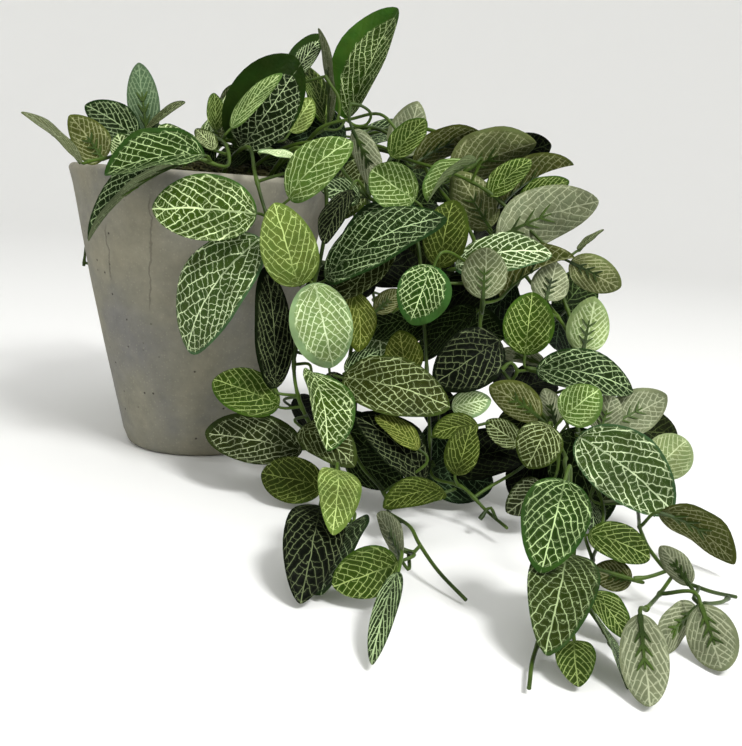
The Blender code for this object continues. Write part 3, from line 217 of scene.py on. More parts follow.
# %% The stems over the pot's left rim and front
STEMS = [
    stem("leafy_stem_left_rim", (-34.0, -28.0),
         [at(140, 141, 40), at(122, 152, 62), at(101, 160, 78), at(86, 162, 84)],
         [leaf(at(82, 163, 86), at(24, 109, 97), 10, "olive_grey", "flat"),
          back_leaf(at(103, 160, 80), at(70, 116, 70), 36, "brown_under"),
          leaf(at(138, 140, 46), at(86, 104, 56), 34, "dark"),
          back_leaf(at(148, 138, 38), at(139, 63, 30), 30, "teal_under", "lifted", ratio=0.42),
          leaf(at(142, 136, 42), at(184, 101, 50), 7, "olive", "flat"),
          leaf(at(128, 160, 72), at(118, 133, 76), 30, "green", "cupped", ratio=0.9)],
         fillers=(0.05, 0.35)),
    stem("leafy_stem_rim_curl", (-6.0, -38.0),
         [at(205, 142, 50), at(228, 152, 74), at(226, 168, 80), at(213, 172, 84), at(197, 158, 86)],
         [leaf(at(205, 155, 90), at(103, 171, 96), 38, "green_deep", "cupped"),
          leaf(at(197, 157, 88), at(88, 241, 92), 16, "dark", "folded"),
          leaf(at(215, 150, 70), at(196, 128, 66), 16, "olive", "flat")],
         fillers=(0.05, 0.3)),
    stem("leafy_stem_pot_front", (16.0, -44.0),
         [at(248, 146, 68), at(257, 182, 82), at(265, 210, 85), at(280, 246, 88), at(300, 282, 91)],
         [leaf(at(257, 213, 90), at(152, 208, 92), 64, "green"),
          leaf(at(262, 239, 88), at(188, 352, 80), 66, "blue_green"),
          leaf(at(300, 286, 95), at(275, 203, 103), 56, "yellow_green"),
          leaf(at(312, 283, 95), at(331, 369, 93), 62, "mint", ratio=0.58),
          leaf(at(289, 199, 90), at(353, 142, 92), 44, "bright"),
          leaf(at(300, 160, 84), at(258, 151, 84), 7, "mint", "flat")],
         fillers=(0.2,)),
]
print("stems so far:", len(STEMS))

# %% The stems that hang in front
STEMS += [
    stem("leafy_stem_long_drop", (38.0, -34.0),
         [at(300, 148, 60), at(326, 190, 80), at(322, 250, 80), at(306, 312, 82), at(296, 350, 86),
          at(293, 372, 88), at(298, 396, 90), at(306, 416, 92), at(320, 442, 98), at(334, 466, 114),
          low(343, 496, 18), low(352, 528, 5)],
         [leaf(at(325, 280, 88), at(447, 218, 90), 50, "dark", ratio=0.5),
          leaf(at(274, 389, 92), at(264, 267, 88), 38, "black_green", "flat", ratio=0.4),
          leaf(at(279, 407, 92), at(212, 380, 86), 46, "leaf_green"),
          leaf(at(303, 449, 96), at(205, 432, 88), 50, "brown_green", ratio=0.5),
          leaf(at(324, 486, 106), at(261, 474, 100), 46, "moss_green"),
          leaf(at(312, 372, 98), at(330, 449, 130), 44, "green", "cupped"),
          leaf(at(330, 372, 84), at(345, 440, 88), 36, "black_green", "flat"),
          leaf(at(302, 427, 108), at(355, 466, 124), 42, "olive"),
          leaf(at(337, 470, 155), low(333, 536, 21), 44, "yellow_green", ratio=0.4),
          leaf(low(320, 506, 22), low(300, 604, 2.5), 60, "black_green", ratio=0.4),
          leaf(low(352, 528, 14), low(322, 601, 2.5), 44, "dark", "flat")],
         fillers=(0.25, 0.4)),
    stem("leafy_stem_low_front", (49.0, -20.0),
         [at(350, 150, 36), at(370, 230, 62), at(354, 330, 72), at(346, 408, 84), at(356, 458, 100),
          at(374, 480, 108), at(389, 499, 116), low(389, 513, 14), low(404, 521, 14), low(420, 545, 12),
          low(431, 563, 9), low(450, 583, 5), low(466, 600, 2.6)],
         [leaf(low(398, 562, 16), low(332, 585, 8), 50, "leaf_green"),
          back_leaf(low(402, 560, 15), low(377, 514, 25), 22, "pale_under", "flat"),
          leaf(low(398, 572, 18), low(372, 665, 3), 24, "dark", "flat", ratio=0.2),
          leaf(low(445, 492, 18), low(383, 508, 12), 30, "moss_green"),
          leaf(at(425, 482, 112), at(354, 414, 104), 46, "black_green"),
          leaf(at(419, 449, 110), at(377, 414, 106), 22, "yellow_dark", "flat"),
          leaf(at(343, 378, 90), at(450, 407, 100), 58, "olive", ratio=0.55),
          leaf(at(345, 372, 86), at(380, 350, 84), 22, "dark", "flat"),
          leaf(at(352, 292, 84), at(358, 352, 88), 32, "yellow_dark")],
         twigs=([low(420, 545, 12), low(408, 552, 13), low(398, 548, 14)],
                [low(404, 521, 14), low(392, 523, 12), low(386, 531, 10)]),
         fillers=(0.25,)),
    stem("leafy_stem_middle_run", (38.0, 10.0),
         [at(350, 156, 2), at(410, 215, 40), at(424, 320, 58), at(430, 420, 84), at(440, 484, 108),
          at(462, 487, 114), low(478, 503, 13), low(507, 528, 9)],
         [leaf(at(455, 475, 116), at(470, 425, 112), 34, "moss_green"),
          leaf(at(478, 425, 104), at(432, 435, 108), 26, "moss_green"),
          leaf(at(520, 444, 102), at(486, 421, 100), 26, "olive", "flat")],
         twigs=([low(497, 521, 9), low(492, 507, 14), low(480, 519, 9)],),
         fillers=(0.2, 0.3)),
]
print("stems so far:", len(STEMS))

# %% The stems that hang in the middle and on the right
STEMS += [
    stem("leafy_stem_centre_drop", (24.0, 30.0),
         [at(372, 128, -8), at(440, 190, 34), at(476, 246, 66), at(483, 290, 80), at(482, 338, 84),
          at(492, 356, 88), at(515, 386, 96), at(545, 418, 104), at(560, 446, 118), low(566, 474, 44),
          low(572, 510, 34), low(574, 560, 14), low(562, 610, 6), low(537, 645, 4), low(529, 688, 2.6)],
         [leaf(at(434, 266, 96), at(412, 325, 100), 54, "green_dark"),
          leaf(at(440, 268, 78), at(455, 200, 70), 44, "moss_green"),
          back_leaf(at(483, 299, 98), at(486, 247, 99), 46, "olive_grey", "cupped"),
          leaf(at(407, 376, 84), at(400, 330, 82), 38, "yellow_dark", "cupped"),
          leaf(at(500, 340, 90), at(434, 385, 98), 60, "black_green"),
          leaf(at(452, 408, 96), at(491, 400, 100), 28, "mint", "flat"),
          leaf(at(455, 268, 88), at(552, 254, 90), 38, "blue_green", ratio=0.5),
          back_leaf(at(500, 298, 82), at(574, 256, 80), 20, "brown_under", "folded"),
          back_leaf(at(545, 364, 92), at(492, 352, 90), 16, "pale_under", "flat"),
          leaf(at(549, 424, 116), at(527, 468, 122), 46, "olive"),
          back_leaf(at(540, 418, 108), at(490, 385, 102), 36, "brown_under"),
          back_leaf(at(556, 426, 107), at(545, 388, 104), 24, "pale_under", "flat"),
          leaf(at(563, 418, 114), at(600, 390, 116), 44, "bright", "cupped"),
          leaf(low(565, 480, 50), low(540, 572, 24), 66, "green_deep", ratio=0.4),
          leaf(low(545, 486, 22), low(506, 512, 12), 36, "brown_green"),
          leaf(low(569, 554, 18), low(547, 656, 3), 68, "olive_deep", ratio=0.4),
          leaf(low(574, 641, 10), low(579, 687, 2.5), 38, "leaf_green")],
         twigs=([at(512, 380, 96), at(517, 368, 97), at(508, 362, 98), at(502, 370, 99)],),
         fillers=(0.3,)),
    stem("leafy_stem_right_wave", (52.0, 10.0),
         [at(392, 150, 10), at(470, 212, 28), at(535, 288, 54), at(572, 345, 80), at(574, 400, 94),
          at(580, 438, 104), at(590, 470, 114), at(601, 496, 122), low(602, 525, 14), low(593, 557, 12)],
         [leaf(at(525, 355, 86), at(533, 292, 80), 50, "leaf_green"),
          back_leaf(at(583, 352, 88), at(594, 297, 82), 42, "mint", "cupped"),
          back_leaf(at(546, 300, 76), at(556, 262, 70), 40, "pale_under", "cupped"),
          leaf(at(536, 370, 94), at(634, 390, 98), 42, "dark", ratio=0.55),
          back_leaf(at(600, 432, 108), at(612, 394, 104), 34, "pale_under", "cupped"),
          back_leaf(at(612, 424, 108), at(667, 395, 104), 44, "pale_under"),
          leaf(at(650, 474, 118), at(687, 440, 112), 44, "mint_dull", "cupped"),
          leaf(at(578, 436, 114), at(673, 512, 132), 68, "blue_green"),
          leaf(low(600, 503, 14), low(655, 517, 12), 12, "olive", "folded"),
          leaf(low(590, 500, 18), low(592, 538, 8), 20, "dark", "flat"),
          leaf(low(588, 534, 16), low(650, 559, 9), 36, "leaf_green"),
          back_leaf(low(632, 580, 9), low(592, 570, 9), 30, "brown_under", "flat"),
          leaf(low(590, 592, 14), low(626, 639, 3), 28, "leaf_green"),
          leaf(low(590, 608, 16), low(627, 689, 3), 7, "dark", "flat")],
         twigs=([low(593, 557, 12), low(590, 580, 12), low(590, 600, 12)],),
         fillers=(0.2, 0.4)),
    stem("leafy_stem_right_floor", (46.0, 24.0),
         [at(420, 128, -6), at(505, 184, 24), at(548, 262, 44), at(582, 350, 62), at(606, 420, 80),
          at(632, 492, 100), low(648, 545, 18), low(664, 570, 15), low(685, 582, 13), low(706, 590, 9),
          low(736, 597, 4)],
         [back_leaf(low(660, 512, 24), low(735, 564, 8), 34, "brown_under"),
          back_leaf(low(690, 585, 14), low(660, 546, 26), 24, "pale_under", "flat"),
          back_leaf(low(640, 614, 24), low(649, 707, 2.5), 46, "pale_under", ratio=0.5),
          back_leaf(low(696, 607, 13), low(656, 653, 4), 28, "pale_under", "flat", ratio=0.5),
          back_leaf(low(701, 605, 18), low(724, 671, 2.5), 46, "pale_under"),
          back_leaf(at(570, 262, 52), at(621, 287, 58), 36, "olive_under")],
         twigs=([low(672, 577, 14), low(658, 596, 18), low(646, 609, 22)],
                [low(700, 589, 10), low(697, 603, 14), low(722, 602, 10), low(728, 598, 8)],
                [low(664, 570, 15), low(648, 577, 13), low(634, 579, 12)]),
         fillers=(0.25, 0.45)),
]
print("stems so far:", len(STEMS))

# %% The stems at the top and the short one in the middle
STEMS += [
    stem("leafy_stem_top_right", (54.0, -4.0),
         [at(376, 146, 26), at(412, 162, 42), at(452, 173, 50), at(488, 192, 56), at(506, 206, 58),
          at(520, 222, 58)],
         [back_leaf(at(412, 166, 46), at(490, 139, 42), 30, "brown_under"),
          back_leaf(at(450, 181, 52), at(536, 142, 46), 46, "olive_under", "cupped"),
          leaf(at(476, 162, 62), at(428, 203, 74), 12, "bright", "folded"),
          leaf(at(489, 196, 56), at(530, 158, 54), 26, "leaf_green", "flat"),
          back_leaf(at(500, 206, 56), at(574, 165, 50), 15, "brown_under", "folded"),
          leaf(at(520, 202, 60), at(569, 180, 60), 24, "leaf_green", "flat"),
          back_leaf(at(490, 228, 54), at(455, 172, 48), 45, "olive_under", "cupped"),
          back_leaf(at(497, 239, 70), at(599, 201, 64), 56, "pale_under", ratio=0.56),
          leaf(at(578, 250, 66), at(604, 230, 62), 6, "olive", "flat")],
         fillers=(0.4, 0.7)),
    stem("leafy_stem_top_centre", (36.0, -10.0),
         [at(300, 146, 26), at(322, 128, 34), at(340, 118, 38), at(356, 119, 40), at(375, 113, 42),
          at(390, 120, 44), at(404, 140, 46)],
         [leaf(at(288, 78, 30), at(321, 32, 14), 24, "dark_plain", "flat", ratio=0.4),
          back_leaf(at(329, 125, 38), at(320, 28, 34), 9, "olive_grey", "flat"),
          leaf(at(345, 119, 30), at(396, 7, 18), 46, "green_wide", "cupped", ratio=0.5),
          leaf(at(325, 125, 28), at(305, 62, 20), 24, "leaf_green", "flat"),
          back_leaf(at(400, 155, 34), at(418, 101, 26), 38, "pale_under", "cupped"),
          leaf(at(392, 158, 50), at(425, 118, 44), 28, "leaf_green", "flat"),
          back_leaf(at(353, 130, 56), at(379, 192, 68), 26, "pale_under", "flat", ratio=0.45)],
         twigs=([at(336, 119, 37), at(340, 104, 38), at(325, 76, 34)],
                [at(346, 118, 39), at(362, 127, 42), at(372, 117, 44), at(362, 106, 45), at(350, 104, 46)]),
         fillers=(0.3, 0.6)),
    stem("leafy_stem_top_left", (-10.0, -8.0),
         [at(196, 138, 22), at(218, 136, 34), at(234, 142, 42), at(262, 138, 46)],
         [leaf(at(234, 146, 52), at(296, 57, 44), 68, "dark_plain", "cupped", ratio=0.62),
          leaf(at(231, 128, 66), at(281, 72, 66), 18, "bright", "flat", ratio=0.34),
          leaf(at(290, 132, 34), at(312, 98, 30), 26, "yellow_green", "flat"),
          leaf(at(215, 130, 40), at(214, 93, 36), 18, "leaf_green", "flat"),
          # The dark leaves in the pot's mouth take painted shade colours
          leaf(at(252, 152, 24), at(213, 163, 22), 22, "deep_green", "flat"),
          leaf(at(214, 148, 6), at(188, 168, 10), 24, "deep_green", "flat"),
          leaf(at(232, 150, -6), at(262, 168, -2), 24, "deep_black", "flat"),
          leaf(at(256, 160, -20), at(294, 170, -16), 22, "deep_green", "flat")],
         fillers=(0.1, 0.4, 0.7)),
    stem("leafy_stem_centre_bunch", (22.0, -20.0),
         [at(316, 142, 34), at(356, 186, 60), at(386, 208, 68), at(415, 214, 70), at(436, 248, 72),
          at(424, 292, 70), at(392, 312, 68)],
         [leaf(at(426, 220, 80), at(340, 238, 84), 34, "dark"),
          leaf(at(350, 190, 74), at(323, 242, 88), 24, "black_green", "flat"),
          leaf(at(360, 197, 74), at(322, 187, 86), 26, "dark", "flat"),
          leaf(at(415, 201, 78), at(371, 170, 74), 45, "bright", "cupped"),
          back_leaf(at(375, 312, 72), at(400, 290, 72), 22, "brown_under", "flat")],
         fillers=(0.6, 0.8)),
]
print("leafy stems read from the photograph:", len(STEMS))


# %% The stems at the back, which the photograph doesn't show
BACK_LEAN = 12.0
BACK_OUT = 76.0
BACK_RISE = 164.0
BACK_CREST = 168.0


def back_stem(name, hole, angle, reach, drop):
    """Give a stem that rises from its hole, arches over the rim at an angle and hangs behind."""
    outward = np.array([math.cos(math.radians(angle)), math.sin(math.radians(angle)), 0.0])
    start = np.array([hole[0], hole[1], 0.0])
    route = [start + outward * BACK_LEAN + np.array([0.0, 0.0, BACK_RISE]),
             outward * BACK_OUT + np.array([0.0, 0.0, BACK_CREST])]
    for outer_share, drop_share in ((0.5, 0.3), (0.8, 0.7), (1.0, 1.0)):
        height = POT_HEIGHT - drop_share * drop
        route.append(outward * (BACK_OUT + outer_share * reach) + np.array([0.0, 0.0, height]))
    return stem(name, hole, route, [], fillers=(0.1, 0.35, 0.55, 0.75, 0.9, 1.0))


STEMS += [
    back_stem("leafy_stem_back_left", (-42.0, 6.0), 152.0, 10.0, 60.0),
    back_stem("leafy_stem_back_middle", (-22.0, 36.0), 118.0, 22.0, 90.0),
    back_stem("leafy_stem_back", (-4.0, 48.0), 88.0, 26.0, 70.0),
    back_stem("leafy_stem_back_right", (16.0, 48.0), 58.0, 34.0, 100.0),
    back_stem("leafy_stem_back_side", (34.0, 38.0), 30.0, 40.0, 80.0),
]
print("leafy stems with those at the back:", len(STEMS))

# %% Where the foliage ends, where it is dense, and its open spots
FOLIAGE_EDGE = [
    (60, 163), (50, 130), (86, 100), (126, 112), (139, 63), (156, 116), (166, 128), (200, 128),
    (206, 92), (226, 90), (246, 60), (262, 54), (300, 34), (345, 34),
    (398, 10), (405, 62), (422, 100), (490, 130), (536, 134), (576, 164), (600, 196), (606, 232),
    (620, 290), (600, 300), (606, 344), (632, 366), (636, 388), (666, 396), (690, 440), (672, 512),
    (726, 562), (724, 600), (720, 668), (655, 700), (600, 690), (548, 650), (466, 604), (375, 660),
    (290, 602), (322, 500), (300, 440), (330, 200), (300, 164),
]
DENSE_EDGE = [
    (104, 160), (104, 132), (150, 136), (200, 130), (210, 104), (232, 90), (290, 66), (330, 104),
    (356, 108), (404, 118), (432, 134),
    (528, 146), (566, 182), (586, 208), (560, 238), (572, 272), (588, 300), (596, 350), (620, 386),
    (656, 420), (664, 492), (640, 522), (640, 556), (604, 590), (586, 562), (592, 500), (520, 492),
    (470, 476), (440, 494), (398, 500), (366, 520), (350, 556), (296, 556), (290, 506), (304, 470),
    (300, 440), (296, 400), (322, 300), (328, 210), (326, 170), (240, 165), (150, 156),
]
# Each open spot is a place and a radius
OPEN_SPOTS = [(428, 356, 12), (372, 332, 12), (462, 505, 14), (300, 372, 10)]
POT_SEEN_ACROSS = (84.0, 330.0)
POT_SEEN_DOWN = (150.0, 440.0)
GAP_COLUMNS = range(100, 680, 18)
GAP_ROWS = range(60, 600, 18)
GAP_FRONTS = range(-30, 121, 10)
print("lines of sight to test for gaps:", len(GAP_COLUMNS) * len(GAP_ROWS))

# %% [markdown]
# ## Curves for stems
#
# A stem is a wire in a plastic coat, so it bends in smooth curves without kinks. Points at even steps along
# such a curve make a tube of even faces. Where a curve would cut into the pot, it is pushed clear.


# %% Smooth curves, and the pot's outer form
def smooth_route(points, step):
    """Give evenly spaced points along a smooth curve through the given points."""
    points = [np.asarray(point, dtype=float) for point in points]
    gaps = [np.linalg.norm(points[i + 1] - points[i]) for i in range(len(points) - 1)]
    slopes = []
    for i in range(len(points)):
        if i == 0:
            slopes.append((points[1] - points[0]) / gaps[0])
        elif i == len(points) - 1:
            slopes.append((points[-1] - points[-2]) / gaps[-1])
        else:
            before = (points[i] - points[i - 1]) / gaps[i - 1]
            after = (points[i + 1] - points[i]) / gaps[i]
            slopes.append((before * gaps[i] + after * gaps[i - 1]) / (gaps[i - 1] + gaps[i]))
    dense = [points[0]]
    for i, gap in enumerate(gaps):
        for k in range(1, 17):
            u = k / 16
            dense.append((2 * u**3 - 3 * u**2 + 1) * points[i] + (u**3 - 2 * u**2 + u) * gap * slopes[i]
                         + (3 * u**2 - 2 * u**3) * points[i + 1] + (u**3 - u**2) * gap * slopes[i + 1])
    dense = np.array(dense)
    travelled = np.concatenate([[0.0], np.cumsum(np.linalg.norm(np.diff(dense, axis=0), axis=1))])
    count = max(2, int(round(travelled[-1] / step)))
    wanted = np.linspace(0.0, travelled[-1], count + 1)
    return np.column_stack([np.interp(wanted, travelled, dense[:, axis]) for axis in range(3)])


def pot_outer_radius(height):
    """Give the pot's outer radius at a height."""
    share = min(max(height / POT_HEIGHT, 0.0), 1.0)
    straight = POT_BASE_RADIUS + (POT_RIM_RADIUS - POT_BASE_RADIUS) * share
    return straight + POT_SIDE_SWELL * math.sin(math.pi * share)


def clear_of_pot(point, margin):
    """Push a point on a stem outward from the pot's wall, or up over its rim."""
    x, y, z = point
    radius = math.hypot(x, y)
    outer = pot_outer_radius(z) + margin
    if z > POT_HEIGHT + margin or radius > outer or radius < POT_RIM_RADIUS - POT_WALL - 6.0:
        return point
    if POT_HEIGHT + margin - z < outer - radius:
        return np.array([x, y, POT_HEIGHT + margin])
    return np.array([x * outer / radius, y * outer / radius, z])


print("half way up, the pot's radius is", round(pot_outer_radius(0.5 * POT_HEIGHT), 1), "mm")

# %% [markdown]
# ## Blades
#
# Every leaf is punched by the same oval die. What tells them apart is their size and their bend. The share
# of the length, s, and of the half width, t, name a place on any blade, and one formula takes that place to
# where it is in space. The same formula is built again below as nodes, for the fine leaves.


# %% A blade's outline, axes and bend
OUTLINE_SCALE = 2.159
OUTLINE_TIP_POWER = 0.62
WIDTH_PER_SEEN = 1.35
WIDTH_SPARE = 14.0
WIDTH_LIMIT = 0.95


def outline(s):
    """Give a blade's half width along its length, as a share of its widest half width."""
    return OUTLINE_SCALE * math.sqrt(s) * (1.0 - s) ** OUTLINE_TIP_POWER


def leaf_frame(described):
    """Work out a leaf's axes, real length and real width from what is seen of it."""
    base = np.asarray(described["base"])
    tip = np.asarray(described["tip"])
    length = np.linalg.norm(tip - base)
    axis = (tip - base) / length
    if "normal" in described:
        normal = unit(described["normal"] - (described["normal"] @ axis) * axis)
        width = described["ratio"] * length
    else:
        middle = 0.5 * (base + tip)
        toward = VIEW_POINT - middle
        distance = np.linalg.norm(toward)
        facing = unit(toward - (toward @ axis) * axis)
        seen = described["seen"] * distance / PHOTO_FOCAL
        width = max(seen, min(described["ratio"] * length, WIDTH_PER_SEEN * seen + WIDTH_SPARE))
        width = min(width, WIDTH_LIMIT * length)
        turn = math.acos(min(1.0, seen / width))
        across = np.cross(facing, axis)
        choices = []
        for sign in (1.0, -1.0):
            normal = math.cos(turn) * facing + sign * math.sin(turn) * across
            if described["face"] == "under":
                normal = -normal
            choices.append(normal)
        normal = max(choices, key=lambda vector: vector[2])
    side = np.cross(normal, axis)
    return {"base": base, "axis": axis, "side": side, "normal": normal, "length": length, "width": width,
            "form": described["form"], "hidden": "normal" in described}


def blade_point(frame, s, t):
    """Give a point of a blade at a share of its length and of its half width."""
    arch, fold, cup = FORMS[frame["form"]]
    half = 0.5 * frame["width"] * outline(s)
    lifted = (fold * abs(t) + cup * t * t) * half + arch * frame["length"] * 4.0 * s * (1.0 - s)
    return (frame["base"] + frame["axis"] * s * frame["length"] + frame["side"] * (t * half)
            + frame["normal"] * lifted)


def blade_normal(frame, s, t):
    """Give the direction a blade's upper face points at a place on it."""
    step = 0.02
    low_s, high_s = max(s - step, 0.001), min(s + step, 0.999)
    along = blade_point(frame, high_s, t) - blade_point(frame, low_s, t)
    over = blade_point(frame, s, min(t + 0.2, 1.0)) - blade_point(frame, s, max(t - 0.2, -1.0))
    return unit(np.cross(along, over)) * (1.0 if np.cross(along, over) @ frame["normal"] > 0 else -1.0)


print("a blade's half width in its middle, as a share of the widest:", round(outline(0.5), 2))


# %% Join rings of points into a closed mesh
def loft(rings):
    """Join rings of points, each listed the same way round, into a closed mesh."""
    points = [point for ring in rings for point in ring]
    faces = []
    starts = np.cumsum([0] + [len(ring) for ring in rings])
    for k in range(len(rings) - 1):
        first, second = starts[k], starts[k + 1]
        m, n = len(rings[k]), len(rings[k + 1])
        if m == n:
            for i in range(m):
                j = (i + 1) % m
                faces.append((first + i, second + i, second + j))
                faces.append((first + i, second + j, first + j))
        elif m == 3 and n == 6:
            # Corners 0 and 1 are the upper pair, and 2 is the lower one
            for i, far in enumerate(((0, 1, 2), (2, 3, 4), (4, 5, 0))):
                a, b = first + i, first + (i + 1) % 3
                c, middle, d = (second + k for k in far)
                faces += [(a, c, middle), (a, middle, b), (b, middle, d)]
        elif m == 6 and n == 2:
            top, bottom = second, second + 1
            faces += [(first, top, first + 1), (first + 1, top, first + 2)]
            faces += [(first + 2, top, bottom), (first + 2, bottom, first + 3)]
            faces += [(first + 3, bottom, first + 4), (first + 4, bottom, first + 5)]
            faces += [(first + 5, bottom, top), (first + 5, top, first)]
    for i in range(1, len(rings[0]) - 1):
        faces.append((0, i, i + 1))
    if len(rings[-1]) > 2:
        last = starts[-2]
        for i in range(1, len(rings[-1]) - 1):
            faces.append((last, last + i + 1, last + i))
    return np.array(points), faces


# %% The plain leaves and stems, which serve here only to keep everything apart
def carried(vector, old, new):
    """Turn a vector by the smallest turn that takes one direction to another."""
    turn = np.cross(old, new)
    share = old @ new
    if share < -0.98:
        return vector
    return share * vector + np.cross(turn, vector) + turn * (turn @ vector) / (1.0 + share)


def petiole_ring(centre, direction, frame, widen, thicken):
    """Give a petiole's three corners, two above and one below, listed as a blade's rows are."""
    across = carried(frame["side"], frame["axis"], direction)
    upward = np.cross(direction, across)
    wide = across * (PETIOLE_HALF_WIDTH + widen)
    thick = upward * (PETIOLE_HALF_THICKNESS + thicken)
    return [centre - wide + thick, centre + wide + thick, centre - 1.4 * thick]


def leaf_solid(frame, attach, spare=0.0, blade_only=False):
    """Give a leaf's closed mesh from its root inside the stem to its tip, grown by a spare."""
    half = 0.5 * BLADE_THICKNESS + spare
    rings = []
    if not blade_only:
        base = frame["base"]
        reach = np.linalg.norm(base - attach)
        if reach < PETIOLE_SHORTEST:
            base = base + frame["axis"] * PETIOLE_SHORTEST
        if reach > PETIOLE_BEND_LENGTH:
            bend = base - frame["axis"] * min(PETIOLE_BEND_SHARE * reach, PETIOLE_BEND_LIMIT)
            approach = unit(bend - attach)
            arrival = frame["axis"]
            rings.append(petiole_ring(attach, approach, frame, spare, spare))
            rings.append(petiole_ring(bend, unit(approach + arrival), frame, spare, spare))
        else:
            approach = unit(base - attach)
            arrival = unit(approach + frame["axis"])
            rings.append(petiole_ring(attach, approach, frame, spare, spare))
        rings.append(petiole_ring(base, arrival, frame, spare, spare - 0.2))
    for s in HIDDEN_BLADE_ROWS if frame["hidden"] else BLADE_ROWS:
        ring = []
        for t in (-1.0, 0.0, 1.0):
            ring.append(blade_point(frame, s, t) + half * blade_normal(frame, s, t))
        for t in (1.0, 0.0, -1.0):
            ring.append(blade_point(frame, s, t) - half * blade_normal(frame, s, t))
        rings.append(ring)
    tip = blade_point(frame, 0.999, 0.0)
    upward = blade_normal(frame, 0.97, 0.0)
    rings.append([tip + half * upward, tip - half * upward])
    return loft(rings)


def tube_solid(centres, radius):
    """Give a round stem's closed mesh along its centre points."""
    direction = unit(centres[1] - centres[0])
    across = unit(np.cross(direction, [1.0, 0.0, 0.0] if abs(direction[0]) < 0.9 else [0.0, 1.0, 0.0]))
    rings = []
    for i, centre in enumerate(centres):
        if i == 0:
            heading = unit(centres[1] - centres[0])
        elif i == len(centres) - 1:
            heading = unit(centres[-1] - centres[-2])
        else:
            heading = unit(unit(centres[i] - centres[i - 1]) + unit(centres[i + 1] - centres[i]))
        across = unit(across - (across @ heading) * heading)
        upward = np.cross(heading, across)
        ring = []
        for k in range(STEM_SIDES):
            angle = -2.0 * math.pi * k / STEM_SIDES
            ring.append(centre + radius * (math.cos(angle) * across + math.sin(angle) * upward))
        rings.append(ring)
    return loft(rings)


plain_tube = tube_solid(np.array([[0.0, 0.0, 0.0], [0.0, 0.0, STEM_STEP]]), STEM_RADIUS)
print("one length of plain stem has", len(plain_tube[1]), "faces")

# %% [markdown]
# ## Placing everything
#
# Leaves of different stems don't cut through one another. Each stem and leaf is tried where it is seen, and
# where there is no room it moves along its line of sight, which leaves the photographed view as it is.


# %% Search shapes and tests
class Placed:
    """A placed shape with its box and search tree."""

    def __init__(self, owner, kind, points, faces):
        self.owner = owner
        self.kind = kind
        self.hidden = False
        self.low = points.min(axis=0)
        self.high = points.max(axis=0)
        self.tree = BVHTree.FromPolygons([tuple(point) for point in points], faces)

    def touches(self, other):
        """Tell whether this shape cuts another one."""
        if np.any(self.low > other.high) or np.any(other.low > self.high):
            return False
        return bool(self.tree.overlap(other.tree))


def inside_edge(px, py, edge):
    """Tell whether a point of the photograph lies inside an outline."""
    inside = False
    for i in range(len(edge)):
        x0, y0 = edge[i]
        x1, y1 = edge[(i + 1) % len(edge)]
        if (y0 > py) != (y1 > py) and px < x0 + (py - y0) / (y1 - y0) * (x1 - x0):
            inside = not inside
    return inside


def hidden_well(point):
    """Tell whether a point lies behind the pot or within the foliage's edge, as seen in the photograph."""
    px, py = picture_point(point)
    behind_pot = (point[1] > 0.0 and POT_SEEN_ACROSS[0] < px < POT_SEEN_ACROSS[1]
                  and POT_SEEN_DOWN[0] < py < POT_SEEN_DOWN[1])
    return behind_pot or inside_edge(px, py, FOLIAGE_EDGE)


def move_along_sight(point, distance):
    """Move a point along its line of sight, toward the viewpoint where the distance is positive."""
    return point + unit(VIEW_POINT - point) * distance


def nearest_attachment(lines, base, axis):
    """Give the point on a stem's lines where a leaf's petiole starts."""
    wanted = base - axis * 6.0
    best = None
    for line in lines:
        for i in range(len(line) - 1):
            start, end = line[i], line[i + 1]
            if 0.5 * (start[2] + end[2]) < POT_HEIGHT and math.hypot(*start[:2]) < 58.0:
                continue
            span = end - start
            share = float(np.clip((wanted - start) @ span / (span @ span), 0.05, 0.95))
            point = start + share * span
            distance = np.linalg.norm(wanted - point)
            if best is None or distance < best[0]:
                best = (distance, point)
    return best[1]


def ring_points(radius, height, count):
    """Give points round a circle."""
    angles = [2 * math.pi * k / count for k in range(count)]
    return [np.array([radius * math.cos(angle), radius * math.sin(angle), height]) for angle in angles]


def pot_proxy():
    """Give a simple closed shape just outside the pot and its filling, for keeping leaves clear."""
    spare = CLEARANCE
    levels = [(POT_BASE_RADIUS + spare, 0.0), (pot_outer_radius(50.0) + spare, 50.0),
              (pot_outer_radius(100.0) + spare, 100.0), (POT_RIM_RADIUS + spare, POT_HEIGHT - 4.0),
              (POT_RIM_RADIUS + spare, POT_HEIGHT + spare),
              (POT_RIM_RADIUS - POT_WALL - spare, POT_HEIGHT + spare),
              (POT_RIM_RADIUS - POT_WALL - 2.5 - spare, FILLING_TOP + spare)]
    rings = [list(reversed(ring_points(radius, height, 40))) for radius, height in levels]
    return loft(rings)


print("the pot's test shape has", len(pot_proxy()[1]), "faces")


